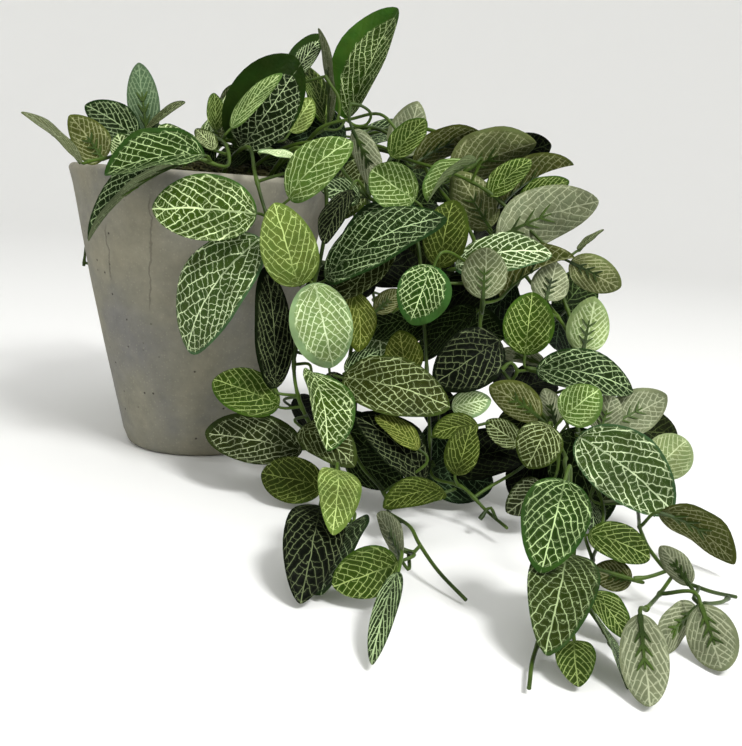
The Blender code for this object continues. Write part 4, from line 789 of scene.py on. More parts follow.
# %% Bend the stems clear of one another
def stem_lines():
    """Give each stem's line from its hole on, with the stems bent clear of one another and of the pot."""
    lines = []
    for described in STEMS:
        start = np.array([*described["hole"], FILLING_TOP - STEM_START_DEPTH])
        collar = np.array([*described["hole"], FILLING_TOP + 7.0])
        lines.append(smooth_route([start, collar] + described["route"], FINE_STEP))
    for turn in range(80):
        worst = 0.0
        pushes = [np.zeros_like(line) for line in lines]
        for a in range(len(lines)):
            for b in range(a + 1, len(lines)):
                apart = lines[a][:, None, :] - lines[b][None, :, :]
                distance = np.linalg.norm(apart, axis=2)
                for i, j in zip(*np.nonzero(distance < STEM_SPACING)):
                    short = STEM_SPACING - distance[i, j]
                    worst = max(worst, short)
                    direction = apart[i, j] / max(distance[i, j], 1e-6)
                    pushes[a][i] += 0.3 * short * direction
                    pushes[b][j] -= 0.3 * short * direction
        for k, line in enumerate(lines):
            push = pushes[k]
            spread = push.copy()
            for _ in range(3):
                spread[1:-1] = 0.5 * spread[1:-1] + 0.25 * (spread[:-2] + spread[2:])
            line += np.where(np.abs(push) > np.abs(spread), push, spread)
            for i in range(len(line)):
                if i * FINE_STEP < STEM_START_DEPTH + 5.0:
                    line[i] = [*STEMS[k]["hole"], FILLING_TOP - STEM_START_DEPTH + i * FINE_STEP]
                    continue
                line[i] = clear_of_pot(line[i], STEM_RADIUS + 1.5)
                line[i][2] = max(line[i][2], STEM_RADIUS + FLOOR_CLEARANCE)
        if worst < 0.2:
            break
    print("stems bent clear in", turn + 1, "turns, still short by", round(worst, 2))
    return lines


def coarser(line, step):
    """Give fewer points along a line."""
    count = max(2, int(round((len(line) - 1) * FINE_STEP / step)))
    return np.array([line[int(round(k * (len(line) - 1) / count))] for k in range(count + 1)])


# %% Place the leaves that are seen
SIGHT_STEP = 2.5
SIGHT_STEPS = 12
LEAF_SIZES = (1.0, 0.9)
TIP_LEANS = (0.0, 8.0, -8.0)
LEAF_LOWEST = 1.2


def leaf_fits(plant, frame, obstacles, strict):
    """Tell whether a leaf is clear of all others, and give its search shapes."""
    attach = nearest_attachment(plant["lines"], frame["base"], frame["axis"])
    points, faces = leaf_solid(frame, attach, spare=CLEARANCE)
    lowest = points[:, 2].min()
    if lowest < FLOOR_CLEARANCE:
        frame["base"] = frame["base"] + np.array([0.0, 0.0, FLOOR_CLEARANCE - lowest])
        attach = nearest_attachment(plant["lines"], frame["base"], frame["axis"])
        points, faces = leaf_solid(frame, attach, spare=CLEARANCE)
    if points[:, 2].min() < FLOOR_CLEARANCE - 0.2:
        return None
    whole = Placed(plant["name"], "leaf", points, faces)
    blade = Placed(plant["name"], "blade", *leaf_solid(frame, attach, spare=CLEARANCE, blade_only=True))
    for other in obstacles:
        if other.owner != plant["name"]:
            if other.kind != "blade" and whole.touches(other):
                return None
        elif other.kind == "blade" or (other.kind == "stem" and strict):
            if blade.touches(other):
                return None
    frame["attach"] = attach
    whole.hidden = frame["hidden"]
    return whole, blade


def keep_leaf(plant, frame, tone, face, found, obstacles):
    """Keep a leaf that fits, with its shade and seen face."""
    frame["tone"] = tone
    frame["face"] = face
    plant["frames"].append(frame)
    obstacles += list(found)


def place_leaf(plant, described, obstacles):
    """Place one leaf where it is seen, or as near along its line of sight as there is room."""
    shifts = [0.0]
    for k in range(1, SIGHT_STEPS + 1):
        shifts += [-SIGHT_STEP * k, SIGHT_STEP * k]
    for strict, size, lean, shift in itertools.product((True, False), LEAF_SIZES, TIP_LEANS, shifts):
        trial = dict(described)
        trial["base"] = move_along_sight(np.asarray(described["base"]), shift)
        tip = move_along_sight(np.asarray(described["tip"]), shift + lean)
        trial["tip"] = trial["base"] + (tip - trial["base"]) * size
        if trial["tip"][2] < LEAF_LOWEST or trial["base"][2] < LEAF_LOWEST:
            continue
        frame = leaf_frame(trial)
        found = leaf_fits(plant, frame, obstacles, strict)
        if found:
            keep_leaf(plant, frame, described["tone"], described["face"], found, obstacles)
            return True
    return False


print("a leaf may move by up to", SIGHT_STEP * SIGHT_STEPS, "mm along its line of sight")

# %% Add leaves along the stems by rule
RULE_TONES = ("dark", "black_green", "blue_green", "green", "olive")
RULE_FORMS = ("drooped", "drooped", "cupped", "lifted", "flat")
RULE_LENGTHS = (34.0, 52.0)
RULE_STALKS = (7.0, 12.0)
RULE_RATIOS = (0.56, 0.68)
RULE_LOWEST = 2.0
RULE_CLEAR_OF_AXIS = 60.0
RULE_TRIES = 60


def rule_leaf(base, tip, upward, ratio, form):
    """Give the frame of a leaf that is placed by rule."""
    return leaf_frame(dict(base=base, tip=tip, normal=upward, ratio=ratio, form=form))


def stays_behind(frame, obstacles):
    """Tell whether a leaf hides no leaf read from the photograph, nor the pot's front."""
    for s in (0.15, 0.5, 0.85):
        for t in (-0.9, 0.0, 0.9):
            point = blade_point(frame, s, t)
            ray = unit(point - VIEW_POINT)
            reach = np.linalg.norm(point - VIEW_POINT)
            for other in obstacles:
                if other.kind not in ("leaf", "pot") or other.hidden:
                    continue
                distance = other.tree.ray_cast(tuple(VIEW_POINT), tuple(ray))[3]
                if distance is not None and distance > reach:
                    return False
    return True


def place_rule_leaf(plant, root, tangent, obstacles, draw):
    """Place one leaf at a station of a stem, where the photograph doesn't show it."""
    for _ in range(RULE_TRIES):
        out = np.array([draw.gauss(0.0, 1.0), draw.gauss(0.0, 1.0), draw.gauss(0.1, 0.7)])
        if not plant["name"].startswith("leafy_stem_back"):
            out = out + np.array([0.0, 1.0, 0.0])
        out = unit(out - 0.7 * (out @ tangent) * tangent)
        axis = unit(out + 0.35 * tangent)
        length = draw.uniform(*RULE_LENGTHS)
        base = root + out * draw.uniform(*RULE_STALKS)
        tip = base + axis * length
        upward = unit(np.array([draw.gauss(0.0, 0.35), draw.gauss(-0.25, 0.35), 1.0]))
        form = draw.choice(RULE_FORMS)
        if abs(upward @ axis) > 0.9:
            continue
        frame = rule_leaf(base, tip, upward, draw.uniform(*RULE_RATIOS), form)
        corners = [base, tip] + [blade_point(frame, s, t) for s, t in EDGE_PLACES]
        if not all(hidden_well(corner) and corner[2] >= RULE_LOWEST for corner in corners):
            continue
        found = leaf_fits(plant, frame, obstacles, True) if stays_behind(frame, obstacles) else None
        if found:
            keep_leaf(plant, frame, draw.choice(RULE_TONES), "top", found, obstacles)
            return True
    return False


def add_fillers(plants, obstacles):
    """Add the leaves that the photograph doesn't show, at stations along each stem."""
    draw = random.Random(20)
    added = 0
    for plant in plants:
        main = plant["lines"][0]
        usable = [i for i in range(1, len(main))
                  if main[i][2] > POT_HEIGHT or math.hypot(*main[i][:2]) > RULE_CLEAR_OF_AXIS]
        for share in plant["described"]["fillers"]:
            i = usable[min(len(usable) - 1, int(share * (len(usable) - 1)))]
            added += place_rule_leaf(plant, main[i], unit(main[i] - main[i - 1]), obstacles, draw)
    print("leaves added by rule:", added)


# %% Add leaves behind the open spots
# The shady tones are painted shade: darker copies of the dyes
SHADY_TONES = ("deep_green", "deep_black", "deep_black", "deep_blue", "deep_olive")
SHADY_FORMS = ("drooped", "cupped", "flat")
SHADY_LENGTHS = (30.0, 52.0)
SHADY_RATIOS = (0.58, 0.68)
SHADY_STEM_DISTANCES = (14.0, 62.0)
SHADY_BEST_DISTANCE = 30.0
SHADY_STALKS = (3.0, 34.0)
SHADY_PLACES = 50
SHADY_TRIES = 8


def line_of_sight_is_open(px, py, obstacles):
    """Tell whether nothing is met along the line of sight through a point of the photograph."""
    ray = unit(sight(px, py))
    for other in obstacles:
        if other.kind != "blade" and other.tree.ray_cast(tuple(VIEW_POINT), tuple(ray))[0] is not None:
            return False
    return True


def place_gap_leaf(plants, px, py, obstacles, draw):
    """Place one leaf across an open line of sight, on the stem nearest to it."""
    choices = []
    for front in GAP_FRONTS:
        middle = at(px, py, front)
        if middle[2] < 14.0 or math.hypot(*middle[:2]) < 74.0 and middle[2] < 160.0:
            continue
        for plant in plants:
            attach = nearest_attachment(plant["lines"], middle, np.zeros(3))
            distance = np.linalg.norm(attach - middle)
            if SHADY_STEM_DISTANCES[0] < distance < SHADY_STEM_DISTANCES[1]:
                choices.append((abs(distance - SHADY_BEST_DISTANCE), front, plant, middle, attach))
    choices.sort(key=lambda choice: choice[:2])
    for _, _, plant, middle, attach in choices[:SHADY_PLACES]:
        toward = unit(VIEW_POINT - middle)
        for _ in range(SHADY_TRIES):
            axis = middle - attach
            axis = axis - 0.75 * (axis @ toward) * toward
            stray = np.array([draw.gauss(0, 1), draw.gauss(0, 1), draw.gauss(0, 1)])
            axis = unit(unit(axis) + 0.35 * stray)
            length = draw.uniform(*SHADY_LENGTHS)
            base = middle - 0.5 * length * axis
            reach = np.linalg.norm(base - attach)
            if reach > SHADY_STALKS[1] or reach < SHADY_STALKS[0]:
                continue
            upward = unit(toward + np.array([draw.gauss(0, 0.35), 0.0, 0.45 + draw.gauss(0, 0.3)]))
            if abs(upward @ axis) > 0.85:
                continue
            tip = base + axis * length
            frame = rule_leaf(base, tip, upward, draw.uniform(*SHADY_RATIOS), draw.choice(SHADY_FORMS))
            corners = [tip] + [blade_point(frame, s, t) for s, t in EDGE_PLACES]
            if not all(hidden_well(corner) for corner in corners) or not stays_behind(frame, obstacles):
                continue
            found = leaf_fits(plant, frame, obstacles, True)
            if found:
                keep_leaf(plant, frame, draw.choice(SHADY_TONES), "top", found, obstacles)
                return True
    return False


def add_gap_leaves(plants, obstacles):
    """Add leaves behind, coloured darker as painted shade, wherever the photograph shows foliage and the
    line of sight is open.
    """
    draw = random.Random(7)
    spots = []
    for column in GAP_COLUMNS:
        for row in GAP_ROWS:
            spots.append((column + draw.uniform(-8, 8), row + draw.uniform(-8, 8)))
    draw.shuffle(spots)
    added = 0
    for px, py in spots:
        kept_open = any(math.hypot(px - x, py - y) < radius for x, y, radius in OPEN_SPOTS)
        if inside_edge(px, py, DENSE_EDGE) and not kept_open and line_of_sight_is_open(px, py, obstacles):
            added += place_gap_leaf(plants, px, py, obstacles, draw)
    print("leaves added behind open lines of sight:", added)


# %% Lay the plant out
def lay_out():
    """Place every stem and leaf, and return for each stem its lines and its leaves' frames."""
    obstacles = [Placed("pot", "pot", *pot_proxy())]
    plants = []
    for described, fine in zip(STEMS, stem_lines()):
        main = coarser(fine, STEM_STEP)
        lines = [main]
        for twig in described["twigs"]:
            root = nearest_attachment([main], np.asarray(twig[0]), np.zeros(3))
            line = smooth_route([root] + [np.asarray(point) for point in twig[1:]], 6.0)
            line[:, 2] = np.maximum(line[:, 2], TWIG_RADIUS + FLOOR_CLEARANCE)
            lines.append(line)
        plants.append({"name": described["name"], "lines": lines, "frames": [], "described": described})
        for k, line in enumerate(lines):
            radius = STEM_RADIUS if k == 0 else TWIG_RADIUS
            obstacles.append(Placed(described["name"], "stem", *tube_solid(line, radius + CLEARANCE)))
    jobs = [(plant, described) for plant in plants for described in plant["described"]["leaves"]]
    jobs.sort(key=lambda job: 0.5 * (job[1]["base"][1] + job[1]["tip"][1]))
    placed = [place_leaf(plant, described, obstacles) for plant, described in jobs]
    print("leaves read from the photograph:", len(jobs), "with room:", sum(placed))
    add_gap_leaves(plants, obstacles)
    add_fillers(plants, obstacles)
    return plants


plants = lay_out()
print("leaves in all:", sum(len(plant["frames"]) for plant in plants))

# %% [markdown]
# ## Helpers for nodes and colours
#
# Geometry trees and materials are both graphs of nodes. One function adds a node, sets its options and
# fills its inputs with numbers or with links from other nodes, so that a graph reads from top to bottom.
# Colours are written as sRGB hex values, and Blender's materials work in linear light, so another function
# turns them over.


# %% Add a node and fill its inputs
def add(tree, kind, inputs=(), **settings):
    """Add a node, set its options and fill its inputs."""
    node = tree.nodes.new(kind)
    for name, value in settings.items():
        setattr(node, name, value)
    return fill(tree, node, inputs)


def fill(tree, node, inputs):
    """Fill a node's inputs from a list, or a dict by name or number, of values and of other nodes' outputs.

    A map range's list holds the value, the range it comes from, and the range it is spread over.
    """
    for socket, value in inputs.items() if isinstance(inputs, dict) else enumerate(inputs):
        if isinstance(value, bpy.types.Node):
            value = next(output for output in value.outputs if output.enabled)
        if isinstance(value, bpy.types.NodeSocket):
            tree.links.new(value, node.inputs[socket])
        else:
            node.inputs[socket].default_value = value
    return node


print("a node's inputs take numbers, colours and other nodes")


# %% Start a material, a geometry tree and an object
def linear(hex_colour):
    """Turn an sRGB hex colour to linear red, green, blue and a full alpha."""
    channels = [int(hex_colour[i:i + 2], 16) / 255 for i in (1, 3, 5)]
    return [c / 12.92 if c <= 0.04045 else ((c + 0.055) / 1.055) ** 2.4 for c in channels] + [1.0]


def set_stops(ramp_node, *stops):
    """Set a colour ramp's stops, each a position and a colour."""
    elements = ramp_node.color_ramp.elements
    while len(elements) < len(stops):
        elements.new(0.5)
    for element, (position, shade) in zip(elements, stops):
        element.position = position
        element.color = linear(shade)


def new_tree(name, inputs, output):
    """Make a geometry tree, and give it with its input node and its inputs' identifiers by name."""
    tree = bpy.data.node_groups.new(name, "GeometryNodeTree")
    identifiers = {}
    for socket_name, socket_type in inputs:
        socket = tree.interface.new_socket(name=socket_name, in_out="INPUT", socket_type=socket_type)
        identifiers[socket_name] = socket.identifier
    tree.interface.new_socket(name=output, in_out="OUTPUT", socket_type="NodeSocketGeometry")
    return tree, add(tree, "NodeGroupInput"), identifiers


def linked(made):
    """Put an object in the scene, and give it back."""
    bpy.context.scene.collection.objects.link(made)
    return made


def new_material(name):
    """Make a material, and give it with its node tree and its shader."""
    material = bpy.data.materials.new(name)
    material.use_nodes = True
    return material, material.node_tree, material.node_tree.nodes["Principled BSDF"]


print("mid grey in linear light:", round(linear("#808080")[0], 3))

# %% [markdown]
# ## Dye shades
#
# The maker prints the fabric in a few shades, from nearly black to a pale mint, each with its own vein
# colour. Some are printed with bolder veins. The cloth shows the print on its back too, paler and greyer.
# A leaf's plain margin is where the die cut outside the print, and it is a little bluer than the cells.
# The last four shades are not dyes. They are painted shade, darker copies for leaves deep inside the plant.

# %% Cell, vein and margin colours, and half the width of a main vein in millimetres
SHADES = {
    "black_green": ("#050a02", "#7d8a60", "#0b1404", 0.11),
    "dark": ("#142506", "#bcd59c", "#1c3212", 0.145),
    "dark_plain": ("#0d1903", "#bcd09c", "#182a06", 0.125),
    "green_deep": ("#1f3509", "#c2dc9a", "#2a4618", 0.155),
    "green_dark": ("#203809", "#cbe3a3", "#2f5021", 0.155),
    "blue_green": ("#35491d", "#dff1bf", "#3b5735", 0.22),
    "green": ("#30450f", "#d8ecae", "#385623", 0.225),
    "green_wide": ("#263a0b", "#cbdf9f", "#2c4a12", 0.165),
    "leaf_green": ("#2b3f0a", "#a9bd70", "#365014", 0.12),
    "moss_green": ("#29350a", "#8a9950", "#324010", 0.11),
    "olive": ("#272f09", "#b4c38c", "#323f16", 0.14),
    "olive_deep": ("#29370b", "#b7cb92", "#30491f", 0.15),
    "brown_green": ("#1d2508", "#afba90", "#263112", 0.13),
    "yellow_green": ("#55672a", "#bed282", "#5c7030", 0.155),
    "yellow_dark": ("#3f4b14", "#a8b160", "#475418", 0.13),
    "bright": ("#475f24", "#c4da97", "#506b30", 0.155),
    "mint": ("#778f55", "#e8f8c8", "#839d6d", 0.235),
    "mint_dull": ("#7a8a57", "#cfdaab", "#8b9b6c", 0.17),
    "olive_grey": ("#4b5233", "#a0a886", "#565e3c", 0.13),
    # Painted shade: darker copies of the dyes, for leaves deep inside the plant
    "deep_green": ("#0e1903", "#647a48", "#132108", 0.10),
    "deep_black": ("#040702", "#384226", "#070b03", 0.09),
    "deep_blue": ("#0f1c0b", "#617b54", "#14260f", 0.11),
    "deep_olive": ("#121804", "#535f35", "#182008", 0.10),
}
BACK_SHADES = {
    "brown_under": ("#454c20", "#adb182", "#4d5526"),
    "olive_under": ("#555d35", "#b5b98d", "#5d663c"),
    "pale_under": ("#70785a", "#c6cca9", "#78805f"),
    "olive_grey": ("#565e40", "#a9b08f", "#606848"),
    "teal_under": ("#475c40", "#8a9f7a", "#4e6448"),
    "mint": ("#728550", "#c8d6a8", "#80945f"),
}
# Where a shade's print sits off the middle, and how wide its plain margin is
PRINTS = {"dark_plain": {"shift": -0.22, "margin": 0.24}, "green_wide": {"shift": -0.26, "margin": 0.16},
          "green_dark": {"shift": -0.1, "margin": 0.16},
          "mint": {"shift": 0.08, "margin": 0.12}, "teal_under": {"margin": 0.06}}
print("dye shades:", ", ".join(SHADES))

# %% [markdown]
# ## The leaf blank
#
# One flat blank serves for every leaf: a closed thin sheet whose upper and lower face meet at the cut edge,
# and the moulded spine with its barbs that holds it from below. The blank's points hold no millimetres.
# They hold shares, s along and t across, and the side of the sheet, and the geometry tree turns those into
# each leaf's own form. Rows lie closer together near the base and the tip, where the outline turns most.

# %% Points and faces of the flat sheet
BLANK_ROWS = 18
BLANK_COLUMNS = (-1.0, -0.82, -0.52, -0.24, 0.0, 0.24, 0.52, 0.82, 1.0)


def blank_sheet():
    """Give the sheet's points as (s, t, side of the sheet, sideways mm), and its faces with their part."""
    points = [(0.0, 0.0, 0.0, 0.0), (1.0, 0.0, 0.0, 0.0)]
    grid = {}
    faces = []
    for part, side in enumerate((1.0, -1.0)):
        for i in range(1, BLANK_ROWS):
            s = 0.5 * (1.0 - math.cos(math.pi * i / BLANK_ROWS))
            for j, t in enumerate(BLANK_COLUMNS):
                if part == 1 and abs(t) == 1.0:
                    grid[1, i, j] = grid[0, i, j]
                    continue
                grid[part, i, j] = len(points)
                points.append((s, t, side if abs(t) < 1.0 else 0.0, 0.0))
        for j in range(len(BLANK_COLUMNS) - 1):
            strip = [(0, grid[part, 1, j + 1], grid[part, 1, j])]
            for i in range(1, BLANK_ROWS - 1):
                strip.append((grid[part, i, j], grid[part, i, j + 1], grid[part, i + 1, j + 1],
                              grid[part, i + 1, j]))
            strip.append((grid[part, BLANK_ROWS - 1, j], grid[part, BLANK_ROWS - 1, j + 1], 1))
            faces += [(face if part == 0 else face[::-1], part) for face in strip]
    return points, faces


print("the sheet has", len(blank_sheet()[1]), "faces")


# %% Points and faces of the moulded spine under it
SPINE_END = 0.58
SPINE_ROWS = 6
SPINE_HALF_WIDTH = 0.95
BARB_PLACES = (0.16, 0.31, 0.46)
BARB_LENGTH = 0.13


def spine_bar(stations):
    """Give a closed bar through stations of (s, t, half width in mm, depth in sheet sides)."""
    points = []
    for s, t, wide, deep in stations:
        points += [(s, t, -0.5, -wide), (s, t, -deep, -0.7 * wide), (s, t, -deep, 0.7 * wide),
                   (s, t, -0.5, wide)]
    faces = [(0, 1, 2, 3)]
    for k in range(0, len(points) - 4, 4):
        faces += [(k + i, k + 4 + i, k + 4 + (i + 1) % 4, k + (i + 1) % 4) for i in range(4)]
    last = len(points) - 4
    faces.append((last + 3, last + 2, last + 1, last))
    return points, faces


def spine_bars():
    """Give the stations of the spine and of its pairs of barbs."""
    shares = [k / SPINE_ROWS for k in range(SPINE_ROWS + 1)]
    bars = [[(0.01 + (SPINE_END - 0.01) * share, 0.0, SPINE_HALF_WIDTH * (1.0 - 0.6 * share),
              5.5 - 3.5 * share) for share in shares]]
    for s in BARB_PLACES:
        for way in (-1.0, 1.0):
            bars.append([(s, 0.0, 0.8, 4.0), (s + 0.5 * BARB_LENGTH, 0.17 * way, 0.75, 4.0),
                         (s + BARB_LENGTH, 0.34 * way, 0.3, 2.0)])
    return bars


print("bars under the sheet:", len(spine_bars()))


# %% Make the blank with its shares as attributes
VALUE_FIELD = {"FLOAT": "value", "INT": "value", "BOOLEAN": "value", "FLOAT_VECTOR": "vector",
               "FLOAT_COLOR": "color"}


def write(mesh, name, kind, values, domain="POINT"):
    """Write one attribute of a mesh."""
    attribute = mesh.attributes.new(name, kind, domain)
    attribute.data.foreach_set(VALUE_FIELD[kind], np.asarray(values, dtype=np.float32).ravel()
                               if kind.startswith("FLOAT") else values)


def make_blank():
    """Make the leaf blank."""
    points, faces = blank_sheet()
    for stations in spine_bars():
        bar_points, bar_faces = spine_bar(stations)
        faces += [(tuple(len(points) + k for k in face), 2) for face in bar_faces]
        points += bar_points
    mesh = bpy.data.meshes.new("leaf_blank")
    mesh.from_pydata([(s, t * outline(s), 0.01 * side) for s, t, side, _ in points], [],
                     [face for face, _ in faces])
    write(mesh, "along", "FLOAT", [point[0] for point in points])
    write(mesh, "across", "FLOAT", [point[1] for point in points])
    write(mesh, "flat", "FLOAT", [point[1] * outline(point[0]) for point in points])
    write(mesh, "sheet_side", "FLOAT", [point[2] for point in points])
    write(mesh, "sideways", "FLOAT", [point[3] * MM for point in points])
    write(mesh, "part", "INT", [part for _, part in faces], "FACE")
    at_edge = [abs(t) == 1.0 or s in (0.0, 1.0) for s, t, _, _ in points]
    sharp = [all(at_edge[k] for k in edge.vertices) for edge in mesh.edges]
    write(mesh, "sharp_edge", "BOOLEAN", sharp, "EDGE")
    return bpy.data.objects.new("leaf_blank", mesh)


blank = make_blank()
print("leaf blank:", len(blank.data.vertices), "points and", len(blank.data.polygons), "faces")

# %% [markdown]
# ## What each leaf carries
#
# The geometry tree gets one point for each leaf. The point carries the leaf's axes, size and bend, its
# colours, and the small accidents of its making: the print sits a little off centre on the cut blade, the
# cut margin is wider or narrower, and the warm mould left a slight wave along the edge.

# %% Make the points that leaves grow on
LEAF_NUMBERS = ("half_width", "length", "fold", "cup", "arch", "wave", "curl", "number", "shift", "margin",
                "bold")
LEAF_VECTORS = ("base", "axis", "side", "up")
LEAF_COLOURS = ("cell", "vein", "band", "back_cell", "back_vein", "back_band")
# The leaves that lie near the surface are painted darker as shade, and don't curl
LOW_LEAF_HEIGHT = 16.0
LOW_LEAF_PAINTED_SHADE = 0.79
leaf_draw = random.Random(11)
leaf_count = 0


def shaded(colour, factor):
    """Give a linear colour made lighter or darker."""
    return [min(1.0, channel * factor) for channel in colour[:3]] + [1.0]


def leaf_colours(tone, under, factor):
    """Give a leaf's six colours and its vein width from its tone, and from whether its back is seen."""
    *front, bold = SHADES.get(tone, SHADES["olive"])
    front = [linear(colour) for colour in front]
    if under and tone in BACK_SHADES:
        back = [linear(colour) for colour in BACK_SHADES[tone]]
    else:
        back = [[0.45 * a + 0.55 * b for a, b in zip(colour, linear("#7d8766"))] for colour in front]
    return [shaded(colour, factor) for colour in front + back], bold


def leaf_points(name, frames):
    """Make a mesh with one vertex for each leaf, which carries the leaf's values."""
    global leaf_count
    columns = {key: [] for key in LEAF_NUMBERS + LEAF_VECTORS + LEAF_COLOURS}
    for values in frames:
        arch, fold, cup = FORMS[values["form"]]
        tip_height = values["base"][2] + values["axis"][2] * values["length"]
        low_leaf = min(values["base"][2], tip_height) < LOW_LEAF_HEIGHT
        # Painted shade: the leaves near the surface are made darker
        factor = leaf_draw.uniform(0.88, 1.12) * (LOW_LEAF_PAINTED_SHADE if low_leaf else 1.0)
        colours, bold = leaf_colours(values["tone"], values["face"] == "under", factor)
        leaf_count += 1
        row = {"half_width": 0.5 * values["width"] * MM, "length": values["length"] * MM, "fold": fold,
               "cup": cup, "arch": arch * values["length"] * MM,
               "wave": leaf_draw.uniform(0.011, 0.036) * values["width"] * MM, "number": leaf_count,
               "curl": 0.0 if low_leaf else leaf_draw.uniform(-0.5, 2.2) * MM,
               "shift": leaf_draw.uniform(-0.07, 0.07), "margin": leaf_draw.uniform(0.01, 0.10),
               "bold": bold, "base": values["base"] * MM, "axis": values["axis"],
               "side": values["side"], "up": values["normal"]}
        row.update(zip(LEAF_COLOURS, colours))
        row.update(PRINTS.get(values["tone"], {}))
        for key, value in row.items():
            columns[key].append(value)
    mesh = bpy.data.meshes.new(name)
    mesh.from_pydata([tuple(base) for base in columns["base"]], [], [])
    for key in LEAF_NUMBERS:
        write(mesh, key, "FLOAT", columns[key])
    for key in LEAF_VECTORS:
        write(mesh, key, "FLOAT_VECTOR", columns[key])
    for key in LEAF_COLOURS:
        write(mesh, key, "FLOAT_COLOR", columns[key])
    return bpy.data.objects.new(name, mesh)


print("values on each leaf:", len(LEAF_NUMBERS + LEAF_VECTORS + LEAF_COLOURS))


# %% [markdown]
# ## Stems, twigs and leaf stalks
#
# They are extruded green plastic over a wire: round, a little thicker where a stalk is clipped on, and
# thinner toward the tip. Each is a line of points with a thickness, and the tree turns lines into tubes.

# %% Make the lines that become tubes
LINE_STEP = 2.0
JOINT_SWELLING = 0.35
JOINT_REACH = 2.0


def stalk_route(values):
    """Give a leaf stalk's points, from inside the stem to under the blade."""
    base, axis, attach = values["base"], values["axis"], values["attach"]
    reach = np.linalg.norm(base - attach)
    points = [attach]
    if reach > PETIOLE_BEND_LENGTH:
        points.append(base - axis * min(PETIOLE_BEND_SHARE * reach, PETIOLE_BEND_LIMIT))
    points.append(base - 0.3 * values["normal"])
    foot = values["base"] + 0.04 * values["length"] * axis - 0.7 * values["normal"]
    points.append(foot + FORMS[values["form"]][0] * values["length"] * 0.15 * values["normal"])
    return smooth_route(points, LINE_STEP)


def line_thickness(line, radius, end_radius, joints):
    """Give the radius at each point of a line, swollen near the joints."""
    shares = np.linspace(0.0, 1.0, len(line))
    plain = radius + (end_radius - radius) * shares
    thickness = plain
    for joint in joints:
        distance = np.linalg.norm(line - joint, axis=1)
        thickness = np.maximum(thickness, plain + JOINT_SWELLING * np.exp(-(distance / JOINT_REACH) ** 2))
    return thickness


def plant_lines(name, plant):
    """Make a mesh of lines, for a stem with its twigs and stalks."""
    joints = [values["attach"] for values in plant["frames"]]
    routes = []
    for k, line in enumerate(plant["lines"]):
        fine = smooth_route(list(line), LINE_STEP)
        if k == 0:
            routes.append((fine, line_thickness(fine, STEM_RADIUS, 0.65 * STEM_RADIUS, joints)))
        else:
            ends = [fine[-1], fine[-1] - 1.5 * unit(fine[-1] - fine[-2])]
            routes.append((fine, line_thickness(fine, TWIG_RADIUS, TWIG_RADIUS, joints + ends)))
    for values in plant["frames"]:
        fine = stalk_route(values)
        routes.append((fine, line_thickness(fine, 0.8, 0.65, [])))
    points = np.concatenate([line for line, _ in routes]) * MM
    edges = []
    start = 0
    for line, _ in routes:
        edges += [(start + i, start + i + 1) for i in range(len(line) - 1)]
        start += len(line)
    mesh = bpy.data.meshes.new(name)
    mesh.from_pydata(points.tolist(), edges, [])
    write(mesh, "thickness", "FLOAT", np.concatenate([thickness for _, thickness in routes]) * MM)
    return bpy.data.objects.new(name, mesh)


print("tubes have a point every", LINE_STEP, "mm")


# %% [markdown]
# ## The printed fabric
#
# The leaves are a thin polyester cloth, printed on the upper face and stiffened in a warm mould. The print
# is a net of pale veins. A midrib runs from base to tip, side veins leave it and bend forward until they
# nearly follow the edge, and short cross veins join them like the rungs of a ladder, so the cells are small
# and nearly square. Rather than an image, the pattern is worked out from each point's place on its leaf.
# A side vein is where the number called phase is whole: it counts the side veins along the midrib, and is
# led forward from there by the distance from the midrib. Near the base the veins fan out from one spot.

# %% The print's own measures
SIDE_VEINS = 6.9
FAN_VEINS = 2.9
KINK = 0.14
VEIN_LEAD = 0.34
VEIN_CURVE = 0.26
RUNG_MM = 3.2
LEAF_READINGS = ("along", "flat", "number", "length", "half_width", "shift", "margin", "bold")
# Each step is a result, an operation, and the names or numbers that it works on
PLACE_STEPS = (
    ("length_mm", "MULTIPLY", "length", 1000.0),
    ("half_mm", "MULTIPLY", "half_width", 1000.0),
    ("x_mm", "MULTIPLY", "along", "length_mm"),
    ("y_mm", "MULTIPLY", "flat", "half_mm"),
    ("apart", "MULTIPLY", "number", 31.7),
    ("shrink", "SUBTRACT", 1.0, "margin"),
    ("off_centre", "SUBTRACT", "flat", "shift"),
    ("print_across", "DIVIDE", "off_centre", "shrink"),
    ("print_length", "MULTIPLY_ADD", "margin", -0.75, 1.0),
    ("print_start", "SUBTRACT", "along", 0.012),
    ("print_along", "DIVIDE", "print_start", "print_length"),
)
print("a rung every", RUNG_MM, "mm")

